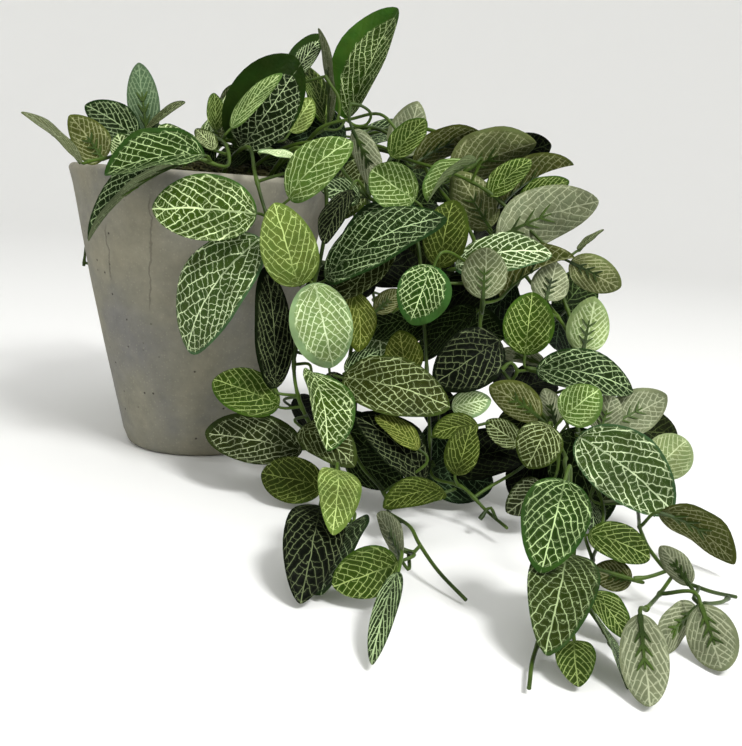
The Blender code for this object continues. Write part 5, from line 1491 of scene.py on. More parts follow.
# %% Steps for the midrib and the side veins
VEIN_STEPS = (
    ("push_along", "MULTIPLY_ADD", "wobble_x", 0.07, "print_along"),
    ("bent_along", "SUBTRACT", "push_along", 0.035),
    ("push_across", "MULTIPLY_ADD", "wobble_y", 0.12, "print_across"),
    ("bent_across", "SUBTRACT", "push_across", 0.06),
    ("right", "GREATER_THAN", "bent_across", 0.0),
    ("out", "ABSOLUTE", "bent_across"),
    # How far forward a side vein has run where it is this far out
    ("slope", "MULTIPLY_ADD", "out", VEIN_CURVE, VEIN_LEAD),
    ("lead", "MULTIPLY", "out", "slope"),
    ("left_midrib", "SUBTRACT", "bent_along", "lead"),
    ("left_after_base", "MAXIMUM", "left_midrib", 0.0),
    # The fan of veins that leave the base itself
    ("lead_safe", "ADD", "lead", 0.004),
    ("fan_share", "DIVIDE", "bent_along", "lead_safe"),
    ("fan_less", "SUBTRACT", "fan_share", 1.0),
    ("fan_only", "MINIMUM", "fan_less", 0.0),
    ("fan", "MULTIPLY", "fan_only", FAN_VEINS),
    # The way travelled along a side vein, which counts the rungs
    ("steepness", "MULTIPLY", "length_mm", VEIN_LEAD + 0.8 * VEIN_CURVE),
    ("way", "DIVIDE", "steepness", "half_mm"),
    ("bent_x", "MULTIPLY", "bent_along", "length_mm"),
    ("out_mm", "MULTIPLY", "out", "half_mm"),
    ("travelled", "MULTIPLY_ADD", "bent_x", "way", "out_mm"),
    ("way_square", "MULTIPLY_ADD", "way", "way", 1.0),
    ("way_length", "SQRT", "way_square"),
    ("travelled_mm", "DIVIDE", "travelled", "way_length"),
    ("rung_plain", "DIVIDE", "travelled_mm", RUNG_MM),
    ("rung_bent", "MULTIPLY_ADD", "wobble_fine", 1.3, "rung_plain"),
    # The side veins, which kink where rungs join them
    ("phase_plain", "MULTIPLY_ADD", "left_after_base", SIDE_VEINS, "fan"),
    ("phase_side", "MULTIPLY_ADD", "right", 0.42, "phase_plain"),
    ("phase_leaf", "MULTIPLY_ADD", "number", 0.37, "phase_side"),
    ("phase_wavy", "MULTIPLY_ADD", "wobble_fine", 0.25, "phase_leaf"),
    ("kink", "PINGPONG", "rung_bent", 0.5),
    ("phase", "MULTIPLY_ADD", "kink", KINK, "phase_wavy"),
    ("off_vein", "PINGPONG", "phase", 0.5),
    # How much of a vein's spacing one millimetre is, across the vein
    ("steep", "MULTIPLY_ADD", "out", 2.0 * VEIN_CURVE, VEIN_LEAD),
    ("steep_mm", "DIVIDE", "steep", "half_mm"),
    ("steep_square", "MULTIPLY", "steep_mm", "steep_mm"),
    ("even_mm", "DIVIDE", 1.0, "length_mm"),
    ("square", "MULTIPLY_ADD", "even_mm", "even_mm", "steep_square"),
    ("root", "SQRT", "square"),
    ("per_mm", "MULTIPLY", "root", SIDE_VEINS),
    ("side_vein", "DIVIDE", "off_vein", "per_mm"),
    ("strip", "FLOOR", "phase"),
    ("strip_number", "MULTIPLY_ADD", "number", 17.0, "strip"),
)
print("steps for the side veins:", len(VEIN_STEPS))

# %% Steps for the rungs and the print's edge
RUNG_STEPS = (
    # Each strip between two side veins has its own start, and a few rungs are missing
    ("rung", "MULTIPLY_ADD", "strip_start", 5.0, "rung_bent"),
    ("off_rung", "PINGPONG", "rung", 0.5),
    ("rung_far", "MULTIPLY", "off_rung", RUNG_MM),
    ("rung_number", "ROUND", "rung"),
)
EDGE_STEPS = (
    ("missing", "LESS_THAN", "rung_chance", 0.17),
    ("net", "MULTIPLY_ADD", "missing", 9.0, "rung_far"),
    # The print ends on the leaf's own outline, drawn a little smaller
    ("straight_out", "ABSOLUTE", "print_across"),
    ("from_base", "MAXIMUM", "print_along", 0.0),
    ("inside_share", "MINIMUM", "from_base", 1.0),
    ("rest", "SUBTRACT", 1.0, "inside_share"),
    ("rise", "POWER", "inside_share", 0.5),
    ("fall", "POWER", "rest", OUTLINE_TIP_POWER),
    ("oval", "MULTIPLY", "rise", "fall"),
    ("oval_wide", "MULTIPLY", "oval", OUTLINE_SCALE),
    ("edge_share", "SUBTRACT", "oval_wide", "straight_out"),
    ("edge_even", "MULTIPLY", "edge_share", "half_mm"),
    ("edge", "MULTIPLY_ADD", "wobble_fine", 2.6, "edge_even"),
    ("off_loop", "SUBTRACT", "edge", 2.3),
    ("loop", "ABSOLUTE", "off_loop"),
    ("nearest", "MINIMUM", "side_vein", "net"),
)
print("steps for rungs and edge:", len(RUNG_STEPS) + len(EDGE_STEPS))


# %% Work out the distances to side veins, rungs, midrib and print edge
def vein_distances(tree):
    """Give a printed leaf's values by name. Those in millimetres are distances to the print's lines."""
    values = {}
    for name in LEAF_READINGS:
        values[name] = add(tree, "ShaderNodeAttribute", attribute_name=name).outputs["Fac"]
    for result, operation, *items in PLACE_STEPS:
        inputs = [values.get(item, item) for item in items]
        values[result] = add(tree, "ShaderNodeMath", inputs, operation=operation)
    values["place"] = add(tree, "ShaderNodeCombineXYZ", [values["x_mm"], values["y_mm"], values["apart"]])
    wobble = add(tree, "ShaderNodeTexNoise", {"Vector": values["place"], "Scale": 0.16, "Detail": 1.5})
    wobble = add(tree, "ShaderNodeSeparateXYZ", [wobble.outputs["Color"]])
    values["wobble_x"], values["wobble_y"] = wobble.outputs[0], wobble.outputs[1]
    values["wobble_fine"] = add(tree, "ShaderNodeTexNoise", {"Vector": values["place"], "Scale": 0.3})
    for result, operation, *items in VEIN_STEPS:
        inputs = [values.get(item, item) for item in items]
        values[result] = add(tree, "ShaderNodeMath", inputs, operation=operation)
    values["strip_start"] = add(tree, "ShaderNodeTexWhiteNoise", {"W": values["strip_number"]},
                                noise_dimensions="1D")
    for result, operation, *items in RUNG_STEPS:
        inputs = [values.get(item, item) for item in items]
        values[result] = add(tree, "ShaderNodeMath", inputs, operation=operation)
    rung_place = add(tree, "ShaderNodeCombineXYZ", [values["strip_number"], values["rung_number"], 0.0])
    values["rung_chance"] = add(tree, "ShaderNodeTexWhiteNoise", [rung_place], noise_dimensions="2D")
    for result, operation, *items in EDGE_STEPS:
        inputs = [values.get(item, item) for item in items]
        values[result] = add(tree, "ShaderNodeMath", inputs, operation=operation)
    return values


# %% Turn the distances into a print
FABRIC_WEAVE_MM = 0.9
# Line, its width as a share of the bold value, and its strength
PRINT_LINES = (("side_vein", 0.86, 1.0), ("net", 0.66, 0.9), ("out_mm", 1.55, 1.0), ("loop", 0.55, 0.5))
MASK_STEPS = (
    ("lines_inside", "MULTIPLY", "lines", "inside"),
    ("lines_faded", "MULTIPLY", "lines_inside", "fading"),
    ("groove_near", "MULTIPLY", "groove", "near_base"),
    ("no_groove", "SUBTRACT", 1.0, "groove_near"),
    ("veins_full", "MULTIPLY", "lines_faded", "no_groove"),
    ("veins", "MULTIPLY", "veins_full", "vein_share"),
    ("halo", "MULTIPLY", "halo_plain", "inside"),
)


def fabric_material(name, colours, softness, vein_share, roughness, relief):
    """Make a printed fabric. Softness blurs the veins by millimetres. Relief is negative on the back."""
    material, tree, shader = new_material(name)
    values = vein_distances(tree)
    values["vein_share"] = vein_share
    patches = add(tree, "ShaderNodeTexNoise", {"Vector": values["place"], "Scale": 0.075, "Detail": 2.0})
    values["lines"] = 0.0
    for line, wide, strength in PRINT_LINES:
        outer, inner = (add(tree, "ShaderNodeMath", [values["bold"], wide, past], operation="MULTIPLY_ADD")
                        for past in (0.07 + softness, -0.05 - 0.3 * softness))
        mask = add(tree, "ShaderNodeMapRange", [values[line], outer, inner, 0.0, strength])
        values["lines"] = add(tree, "ShaderNodeMath", [values["lines"], mask], operation="MAXIMUM")
    for result, source, start, stop, most in (("inside", "edge", 0.9, 2.0 + softness, 1.0),
                                              ("groove", "out_mm", 0.34, 0.12, 0.75),
                                              ("near_base", "inside_share", 0.5, 0.25, 1.0),
                                              ("halo_plain", "nearest", 1.0, 0.2, 0.04)):
        values[result] = add(tree, "ShaderNodeMapRange", [values[source], start, stop, 0.0, most])
    values["fading"] = add(tree, "ShaderNodeMapRange", [patches, 0.36, 0.55, 0.55, 1.0])
    for result, operation, *items in MASK_STEPS:
        inputs = [values.get(item, item) for item in items]
        values[result] = add(tree, "ShaderNodeMath", inputs, operation=operation)
    cell, vein, band = (add(tree, "ShaderNodeAttribute", attribute_name=colour).outputs["Color"]
                        for colour in colours)
    ground = add(tree, "ShaderNodeMix", {0: values["inside"], 6: band, 7: cell}, data_type="RGBA")
    tint = add(tree, "ShaderNodeMapRange", [patches, 0.3, 0.7, 0.72, 1.25])
    hue = add(tree, "ShaderNodeMapRange", [values["wobble_x"], 0.3, 0.7, 0.49, 0.508])
    ground = add(tree, "ShaderNodeHueSaturation", {"Color": ground, "Value": tint, "Hue": hue})
    ground = add(tree, "ShaderNodeMix", {0: values["halo"], 6: ground, 7: vein}, data_type="RGBA")
    colour = add(tree, "ShaderNodeMix", {0: values["veins"], 6: ground, 7: vein}, data_type="RGBA")
    dome = add(tree, "ShaderNodeMapRange", [values["nearest"], 0.0, 2.2, 0.0, relief],
               interpolation_type="SMOOTHSTEP")
    weave = add(tree, "ShaderNodeTexNoise", {"Vector": values["place"], "Scale": 1.0 / FABRIC_WEAVE_MM,
                                             "Detail": 1.0})
    height = add(tree, "ShaderNodeMath", [weave, 0.22, dome], operation="MULTIPLY_ADD")
    bump = add(tree, "ShaderNodeBump", {"Height": height, "Strength": 0.55, "Distance": 0.0005})
    fill(tree, shader, {"Base Color": colour, "Normal": bump, "Roughness": roughness,
                        "Specular IOR Level": 0.04})
    return material


leaf_top = fabric_material("printed_polyester_top", LEAF_COLOURS[:3], 0.0, 0.95, 0.55, 0.8)
leaf_back = fabric_material("printed_polyester_back", LEAF_COLOURS[3:], 0.1, 0.8, 0.75, -0.8)
print("fabric materials have", len(leaf_top.node_tree.nodes), "nodes")

# %% [markdown]
# ## Moulded plastic stems
#
# Soft polyethylene, coloured right through, is extruded over the wire and moulded into the spines. It is
# smooth with a dull shine. Its colour drifts between batches from a fresh to an olive green, and the
# moulding leaves faint streaks.

# %% Polyethylene for stems, stalks and spines
STREAK_MM = 7.0


def plastic_material(name, dark, light, roughness):
    """Make moulded plastic whose colour drifts between two greens."""
    material, tree, shader = new_material(name)
    place = add(tree, "ShaderNodeTexCoord").outputs["Object"]
    drift = add(tree, "ShaderNodeTexNoise", {"Vector": place, "Scale": 1000.0 / (3.0 * STREAK_MM),
                                             "Detail": 3.0})
    colour = add(tree, "ShaderNodeValToRGB", [drift])
    set_stops(colour, (0.36, dark), (0.64, light))
    fine = add(tree, "ShaderNodeTexNoise", {"Vector": place, "Scale": 1000.0 / 0.8, "Detail": 2.0})
    bump = add(tree, "ShaderNodeBump", {"Height": fine, "Strength": 0.25, "Distance": 0.0003})
    fill(tree, shader, {"Base Color": colour, "Normal": bump, "Roughness": roughness, "IOR": 1.51,
                        "Specular IOR Level": 0.2})
    return material


stem_plastic = plastic_material("moulded_polyethylene_stem", "#22320a", "#4b6221", 0.42)
spine_plastic = plastic_material("moulded_polyethylene_spine", "#1e2f0a", "#42591d", 0.45)
print("plastic drifts over about", 3.0 * STREAK_MM, "mm")

# %% [markdown]
# ## The tree that grows a leafy stem
#
# Geometry Nodes suit this: one blank is set on every point, the copies are made real, and then each is bent
# by the blade formula, read from the values that its point carries. Lines become tubes in the same tree.
# Making it a tree keeps the leaf count and the thickness in one place, and every stem uses the same tree.

# %% Build the tree's inputs
GROWTH_INPUTS = (("Leaf points", "NodeSocketGeometry"), ("Leaf blank", "NodeSocketObject"),
                 ("Lines", "NodeSocketObject"), ("Sheet thickness", "NodeSocketFloat"),
                 ("Tube sides", "NodeSocketInt"), ("Top fabric", "NodeSocketMaterial"),
                 ("Back fabric", "NodeSocketMaterial"), ("Spine plastic", "NodeSocketMaterial"),
                 ("Stem plastic", "NodeSocketMaterial"))
growth, inlet, sockets = new_tree("grow_leafy_stem", GROWTH_INPUTS, "Leafy stem")
print("inputs of the tree:", ", ".join(sockets))


# %% Work the blade formula out as nodes
# Each step is a result, an operation, and the names or numbers that it works on
BLADE_STEPS = (
    ("reach", "MULTIPLY", "flat", "half_width"),
    ("half", "SIGN", "across"),
    ("cupped", "MULTIPLY", "across", "cup"),
    ("steep", "MULTIPLY_ADD", "fold", "half", "cupped"),
    ("rise", "MULTIPLY", "steep", "reach"),
    ("aside", "ADD", "reach", "sideways"),
    ("rest", "SUBTRACT", 1.0, "along"),
    ("bow", "MULTIPLY", "rest", "along"),
    ("bow_four", "MULTIPLY", "bow", 4.0),
    ("bowed", "MULTIPLY", "bow_four", "arch"),
    ("risen", "ADD", "rise", "bowed"),
    ("half_sheet", "MULTIPLY", "thickness", 0.5),
    ("on_face", "MULTIPLY_ADD", "sheet_side", "half_sheet", "risen"),
    ("wave_leaf", "MULTIPLY_ADD", "along", 11.0, "number"),
    ("wave_turn", "MULTIPLY_ADD", "half", 1.1, "wave_leaf"),
    ("wave_shape", "SINE", "wave_turn"),
    ("wave_high", "MULTIPLY", "wave_shape", "wave"),
    ("near_edge", "MULTIPLY", "flat", "flat"),
    ("waved", "MULTIPLY_ADD", "wave_high", "near_edge", "on_face"),
    ("near_tip", "POWER", "along", 3.0),
    ("drop", "MULTIPLY", "near_tip", "curl"),
    ("lifted", "SUBTRACT", "waved", "drop"),
    ("ahead", "MULTIPLY", "along", "length"),
)
print("steps of the blade formula:", len(BLADE_STEPS))


def blade_nodes(tree, thickness):
    """Build the blade formula, from the values that the leaf's points carry, and return the position."""
    values = {"thickness": thickness}
    for name in ("along", "across", "flat", "sheet_side", "sideways") + LEAF_NUMBERS:
        values[name] = add(tree, "GeometryNodeInputNamedAttribute", {"Name": name})
    for result, operation, *items in BLADE_STEPS:
        inputs = [values.get(item, item) for item in items]
        values[result] = add(tree, "ShaderNodeMath", inputs, operation=operation)
    position = add(tree, "GeometryNodeInputNamedAttribute", {"Name": "base"}, data_type="FLOAT_VECTOR")
    for name, distance in (("axis", "ahead"), ("side", "aside"), ("up", "lifted")):
        direction = add(tree, "GeometryNodeInputNamedAttribute", {"Name": name}, data_type="FLOAT_VECTOR")
        step = add(tree, "ShaderNodeVectorMath", {0: direction, "Scale": values[distance]},
                   operation="SCALE")
        position = add(tree, "ShaderNodeVectorMath", [position, step], operation="ADD")
    return position


# %% Set blanks on points, make tubes, bend the blades and give out the materials
STEM_PART = 3
blank_shape = add(growth, "GeometryNodeObjectInfo", {"Object": inlet.outputs["Leaf blank"]})
blanks = add(growth, "GeometryNodeInstanceOnPoints", {"Points": inlet.outputs["Leaf points"],
                                                      "Instance": blank_shape.outputs["Geometry"]})
line_shape = add(growth, "GeometryNodeObjectInfo", {"Object": inlet.outputs["Lines"]})
curves = add(growth, "GeometryNodeMeshToCurve", {"Mesh": line_shape.outputs["Geometry"]})
ring = add(growth, "GeometryNodeCurvePrimitiveCircle", {"Resolution": inlet.outputs["Tube sides"],
                                                        "Radius": 1.0})
thickness_field = add(growth, "GeometryNodeInputNamedAttribute", {"Name": "thickness"})
tubes = add(growth, "GeometryNodeCurveToMesh", {"Curve": curves, "Profile Curve": ring,
                                                "Scale": thickness_field, "Fill Caps": True})
tubes = add(growth, "GeometryNodeStoreNamedAttribute", {"Geometry": tubes, "Name": "part",
                                                        "Value": STEM_PART}, data_type="INT", domain="FACE")
tubes = add(growth, "GeometryNodeSetShadeSmooth", {"Geometry": tubes})
joined = add(growth, "GeometryNodeJoinGeometry")
for shape in (tubes, blanks):
    growth.links.new(shape.outputs[0], joined.inputs[0])
real = add(growth, "GeometryNodeRealizeInstances", {"Geometry": joined})
part_field = add(growth, "GeometryNodeInputNamedAttribute", {"Name": "part"}, data_type="INT")
bent_blades = blade_nodes(growth, inlet.outputs["Sheet thickness"])
is_blade = add(growth, "FunctionNodeCompare", {2: part_field, 3: STEM_PART}, data_type="INT",
               operation="LESS_THAN")
shape = add(growth, "GeometryNodeSetPosition", {"Geometry": real, "Selection": is_blade,
                                                "Position": bent_blades})
for number, material_name in enumerate(("Top fabric", "Back fabric", "Spine plastic", "Stem plastic")):
    is_part = add(growth, "FunctionNodeCompare", {2: part_field, 3: number}, data_type="INT",
                  operation="EQUAL")
    shape = add(growth, "GeometryNodeSetMaterial", {"Geometry": shape, "Selection": is_part,
                                                    "Material": inlet.outputs[material_name]})
add(growth, "NodeGroupOutput", [shape])
print("the growing tree has", len(growth.nodes), "nodes")

# %% [markdown]
# ## Grow every leafy stem
#
# The modifier's inputs are filled, the object is evaluated once, and the result is kept as a plain mesh, so
# that the part doesn't depend on the tree.

# %% Grow the stems and stand each in for its plain solid
SHEET_THICKNESS = 0.45
TUBE_SIDES = 8


def keep_result(name, source):
    """Turn an object with a live tree into a plain mesh object of its own."""
    linked(source)
    bpy.context.view_layer.update()
    graph = bpy.context.evaluated_depsgraph_get()
    mesh = bpy.data.meshes.new_from_object(source.evaluated_get(graph), preserve_all_data_layers=True,
                                           depsgraph=graph)
    mesh.name = name
    source.modifiers.clear()
    bpy.data.objects.remove(source, do_unlink=True)
    return linked(bpy.data.objects.new(name, mesh))


leafy_pieces = []
for plant in plants:
    source = leaf_points(plant["name"] + "_points", plant["frames"])
    lines = plant_lines(plant["name"] + "_lines", plant)
    modifier = source.modifiers.new("grow", "NODES")
    modifier.node_group = growth
    chosen = {"Leaf blank": blank, "Lines": lines, "Sheet thickness": SHEET_THICKNESS * MM,
              "Tube sides": TUBE_SIDES, "Top fabric": leaf_top, "Back fabric": leaf_back,
              "Spine plastic": spine_plastic, "Stem plastic": stem_plastic}
    for socket_name, value in chosen.items():
        modifier[sockets[socket_name]] = value
    piece = keep_result(plant["name"] + "_dressed", source)
    bpy.data.objects.remove(lines, do_unlink=True)
    for key in LEAF_VECTORS + ("fold", "cup", "arch", "wave", "curl", "sideways", "sheet_side", "across",
                               "thickness"):
        if key in piece.data.attributes:
            piece.data.attributes.remove(piece.data.attributes[key])
    leafy_pieces.append((piece, plant["name"]))
triangles = sum(len(face.vertices) - 2 for piece, _ in leafy_pieces for face in piece.data.polygons)
print("leafy stems grown:", len(leafy_pieces), "with", triangles, "triangles")

# %% [markdown]
# ## The cement pot
#
# It is cast in a mould from a grey sand and cement mix, without a glaze. So the wall is a straight taper
# with a soft lip, and no two spots of it have quite the same radius. A turned profile gives the form, and a
# slow noise pushes each point in or out by a fraction of a millimetre. Sculpting it would say no more.

# %% Turn the pot's profile
POT_SIDES = 128
UNEVEN_MM = 0.35


def arc_points(centre, radius, start, end, steps):
    """Give points on an arc of a profile, with angles in degrees."""
    angles = [math.radians(start + (end - start) * k / steps) for k in range(steps + 1)]
    x, y = centre
    return [(x + radius * math.cos(angle), y + radius * math.sin(angle)) for angle in angles]


def pot_profile():
    """Give the pot's profile from the middle of its base, up outside, over the lip and down inside."""
    edge = POT_BASE_EDGE_RADIUS
    lip = POT_LIP_RADIUS
    profile = [(0.0, 0.0), (0.5 * POT_BASE_RADIUS, 0.0)]
    profile += arc_points((POT_BASE_RADIUS - edge, edge), edge, -90.0, -14.0, 6)
    profile += [(pot_outer_radius(height), height) for height in range(8, 146, 6)]
    profile += arc_points((POT_RIM_RADIUS - lip, POT_HEIGHT - lip), lip, 0.0, 180.0, 12)
    profile += [(pot_outer_radius(height) - POT_WALL, height) for height in range(140, 8, -12)]
    profile += [(pot_outer_radius(POT_FLOOR) - POT_WALL, POT_FLOOR), (0.0, POT_FLOOR)]
    return profile


def turned_mesh(name, profile, sides, uneven):
    """Turn a profile that starts and ends on the axis into a closed mesh, uneven by a few tenths."""
    points = []
    rings = []
    for radius, height in profile:
        count = 1 if radius < 1e-6 else sides
        rings.append([len(points) + k for k in range(count)])
        for k in range(count):
            angle = 2.0 * math.pi * k / sides
            place = (math.cos(angle) * radius, math.sin(angle) * radius, height)
            push = uneven * noise.noise([value / 22.0 for value in place]) if radius > 1.0 else 0.0
            wider = 1.0 + push / max(radius, 1.0)
            lift = 0.5 * push if height > 20.0 else 0.0
            points.append((place[0] * wider, place[1] * wider, height + lift))
    faces = []
    for lower, upper in zip(rings[:-1], rings[1:]):
        for k in range(sides):
            n = (k + 1) % sides
            corners = [lower[k % len(lower)], lower[n % len(lower)],
                       upper[n % len(upper)], upper[k % len(upper)]]
            faces.append(tuple(dict.fromkeys(corners)))
    mesh = bpy.data.meshes.new(name)
    mesh.from_pydata([tuple(value * MM for value in point) for point in points], [], faces)
    mesh.validate()
    mesh.shade_smooth()
    return linked(bpy.data.objects.new(name, mesh))


pot = turned_mesh("pot_dressed", pot_profile(), POT_SIDES, UNEVEN_MM)
print("pot:", len(pot.data.polygons), "faces")

# %% [markdown]
# ## Cast cement
#
# Bare cement is matt and mottled. Large soft clouds come from how the mix dried, finer ones from the sand,
# and its grains show as pale specks a millimetre across. Air bubbles leave small dark pits, and a few
# hairline cracks run down the wall. Each of these is one noise at its own real size.

# %% Mottled cement with grains, pits and hairline cracks
CLOUD_MM = 55.0
SAND_MM = 8.0
GRAIN_MM = 1.4
PIT_MM = 4.5
CRACK_MM = 60.0
LIP_HIGHLIGHT_FROM_MM = 146.0


def cement_material():
    """Make cast cement."""
    material, tree, shader = new_material("cast_sand_cement")
    place = add(tree, "ShaderNodeTexCoord").outputs["Object"]
    place = add(tree, "ShaderNodeVectorMath", {0: place, "Scale": 1000.0}, operation="SCALE")
    cloud = add(tree, "ShaderNodeTexNoise", {"Vector": place, "Scale": 1.0 / CLOUD_MM, "Detail": 4.0,
                                             "Distortion": 0.6})
    colour = add(tree, "ShaderNodeValToRGB", [cloud])
    set_stops(colour, (0.34, "#777672"), (0.5, "#807e71"), (0.68, "#8b8775"))
    sand = add(tree, "ShaderNodeTexNoise", {"Vector": place, "Scale": 1.0 / SAND_MM, "Detail": 7.0,
                                            "Roughness": 0.68})
    sand_tint = add(tree, "ShaderNodeMapRange", [sand, 0.3, 0.7, 0.86, 1.12])
    colour = add(tree, "ShaderNodeHueSaturation", {"Color": colour, "Value": sand_tint})
    masks = []
    for size_mm, chosen_above, edge, core, most in ((GRAIN_MM, 0.72, 0.42, 0.18, 0.22),
                                                    (PIT_MM, 0.78, 0.16, 0.07, 1.0)):
        cells = add(tree, "ShaderNodeTexVoronoi", {"Vector": place, "Scale": 1.0 / size_mm})
        chosen = add(tree, "ShaderNodeSeparateColor", [cells.outputs["Color"]])
        chosen = add(tree, "ShaderNodeMath", [chosen, chosen_above], operation="GREATER_THAN")
        mask = add(tree, "ShaderNodeMapRange", [cells.outputs["Distance"], edge, core, 0.0, most])
        masks.append(add(tree, "ShaderNodeMath", [mask, chosen], operation="MULTIPLY"))
    grain_mask, pit_mask = masks
    colour = add(tree, "ShaderNodeMix", {0: grain_mask, 6: colour, 7: linear("#a9a694")}, data_type="RGBA")
    tall = add(tree, "ShaderNodeMapping", {"Vector": place, "Scale": (1.0, 1.0, 0.32)})
    push = add(tree, "ShaderNodeTexNoise", {"Vector": place, "Scale": 0.12, "Detail": 4.0})
    tall = add(tree, "ShaderNodeVectorMath", {0: push.outputs["Color"], 1: (6.0, 6.0, 6.0), 2: tall},
               operation="MULTIPLY_ADD")
    crack = add(tree, "ShaderNodeTexVoronoi", {"Vector": tall, "Scale": 1.0 / CRACK_MM},
                feature="DISTANCE_TO_EDGE")
    crack = add(tree, "ShaderNodeMapRange", [crack.outputs["Distance"], 0.010, 0.003, 0.0, 0.4])
    few = add(tree, "ShaderNodeMapRange", [cloud, 0.52, 0.58, 0.0, 1.0])
    crack = add(tree, "ShaderNodeMath", [crack, few], operation="MULTIPLY")
    dark = add(tree, "ShaderNodeMath", [pit_mask, crack], operation="MAXIMUM")
    colour = add(tree, "ShaderNodeMix", {0: dark, 6: colour, 7: linear("#3c3833")}, data_type="RGBA")
    # Painted highlight: the lip is painted paler, in patches that follow the sand
    high = add(tree, "ShaderNodeSeparateXYZ", [place])
    lip_highlight = add(tree, "ShaderNodeMapRange", [high.outputs["Z"], LIP_HIGHLIGHT_FROM_MM, POT_HEIGHT, 0.0, 0.9])
    lip_highlight = add(tree, "ShaderNodeMath", [lip_highlight, sand], operation="MULTIPLY")
    colour = add(tree, "ShaderNodeMix", {0: lip_highlight, 6: colour, 7: linear("#aaa693")}, data_type="RGBA")
    height = add(tree, "ShaderNodeMath", [grain_mask, 0.5, sand], operation="MULTIPLY_ADD")
    height = add(tree, "ShaderNodeMath", [dark, -1.2, height], operation="MULTIPLY_ADD")
    bump = add(tree, "ShaderNodeBump", {"Height": height, "Strength": 0.6, "Distance": 0.0006})
    fill(tree, shader, {"Base Color": colour, "Normal": bump, "Roughness": 0.88, "Specular IOR Level": 0.3})
    return material


pot.data.materials.append(cement_material())
print("cement grains are", GRAIN_MM, "mm and pits", PIT_MM, "mm apart")

# %% [markdown]
# ## The filling and its dry moss
#
# The stems stand in a block of dry floral foam, and the maker hides it under a handful of dried moss. The
# foam is the plain solid with a crumbly finish. The moss is what repeats: Geometry Nodes scatter points on
# the foam's top and put a short bent fibre on each.

# %% Dry floral foam
MOSS_FIBRES = 2400
MOSS_RADIUS = 62.0
MOSS_HEIGHT = 9.0
MOSS_MOUND = 15.0
MOSS_FIBRE_RADIUS = 0.45


def crumbly_material(name, dark, light, size_mm, depth):
    """Make a dull crumbly surface between two colours."""
    material, tree, shader = new_material(name)
    place = add(tree, "ShaderNodeTexCoord").outputs["Object"]
    crumbs = add(tree, "ShaderNodeTexNoise", {"Vector": place, "Scale": 1000.0 / size_mm, "Detail": 6.0,
                                              "Roughness": 0.7})
    colour = add(tree, "ShaderNodeValToRGB", [crumbs])
    set_stops(colour, (0.35, dark), (0.65, light))
    bump = add(tree, "ShaderNodeBump", {"Height": crumbs, "Strength": 0.8, "Distance": depth})
    fill(tree, shader, {"Base Color": colour, "Normal": bump, "Roughness": 0.95})
    return material


foam_material = crumbly_material("dry_floral_foam", "#1f2412", "#47492c", 3.0, 0.0012)
moss_material = crumbly_material("dried_moss", "#1f280c", "#525026", 9.0, 0.0003)
foam = frame["nodes"]["filling"]
foam.data.materials.clear()
foam.data.materials.append(foam_material)
print("the foam's top is at", FILLING_TOP, "mm")

# %% Scatter moss fibres
MOSS_INPUTS = (("Ground", "NodeSocketGeometry"), ("Fibre length", "NodeSocketFloat"),
               ("Fibre radius", "NodeSocketFloat"), ("Moss", "NodeSocketMaterial"))
moss_tree, moss_inlet, moss_sockets = new_tree("scatter_moss", MOSS_INPUTS, "Moss cover")
fibre_length = moss_inlet.outputs["Fibre length"]
half_length = add(moss_tree, "ShaderNodeMath", [fibre_length, 0.5], operation="MULTIPLY")
peak = add(moss_tree, "ShaderNodeMath", [fibre_length, 0.55], operation="MULTIPLY")
ends = [add(moss_tree, "ShaderNodeCombineXYZ", [half_length, 0.0, 0.0]),
        add(moss_tree, "ShaderNodeCombineXYZ", [0.0, 0.0, peak])]
far_end = add(moss_tree, "ShaderNodeVectorMath", {0: ends[0], "Scale": -1.0}, operation="SCALE")
bow_curve = add(moss_tree, "GeometryNodeCurveQuadraticBezier", {"Resolution": 4, "Start": far_end,
                                                                "Middle": ends[1], "End": ends[0]})
fibre_radius = moss_inlet.outputs["Fibre radius"]
moss_ring = add(moss_tree, "GeometryNodeCurvePrimitiveCircle", {"Resolution": 3, "Radius": fibre_radius})
fibre = add(moss_tree, "GeometryNodeCurveToMesh", {"Curve": bow_curve, "Profile Curve": moss_ring,
                                                   "Fill Caps": True})
counts = add(moss_tree, "GeometryNodeMeshToPoints", {"Mesh": moss_inlet.outputs["Ground"]})
turns = add(moss_tree, "FunctionNodeRandomValue", {"Min": (-0.9, -0.9, 0.0), "Max": (0.9, 0.9, 6.28),
                                                   "Seed": 5}, data_type="FLOAT_VECTOR")
sizes = add(moss_tree, "FunctionNodeRandomValue", {2: 0.5, 3: 1.3, "Seed": 6})
fibres = add(moss_tree, "GeometryNodeInstanceOnPoints", {"Points": counts, "Instance": fibre,
                                                         "Rotation": turns.outputs[0],
                                                         "Scale": sizes.outputs[1]})
fibres = add(moss_tree, "GeometryNodeRealizeInstances", {"Geometry": fibres})
fibres = add(moss_tree, "GeometryNodeSetShadeSmooth", {"Geometry": fibres})
fibres = add(moss_tree, "GeometryNodeSetMaterial", {"Geometry": fibres,
                                                    "Material": moss_inlet.outputs["Moss"]})
add(moss_tree, "NodeGroupOutput", [fibres])
moss_draw = random.Random(3)
spots = []
for _ in range(MOSS_FIBRES):
    radius = MOSS_RADIUS * math.sqrt(moss_draw.random())
    turn = moss_draw.uniform(0.0, 2.0 * math.pi)
    mound = MOSS_MOUND * (1.0 - (radius / MOSS_RADIUS) ** 4)
    height = FILLING_TOP + mound + moss_draw.uniform(-1.0, 1.2)
    spots.append((radius * math.cos(turn) * MM, radius * math.sin(turn) * MM, height * MM))
ground_mesh = bpy.data.meshes.new("moss_spots")
ground_mesh.from_pydata(spots, [], [])
ground = bpy.data.objects.new("moss_spots", ground_mesh)
modifier = ground.modifiers.new("scatter", "NODES")
modifier.node_group = moss_tree
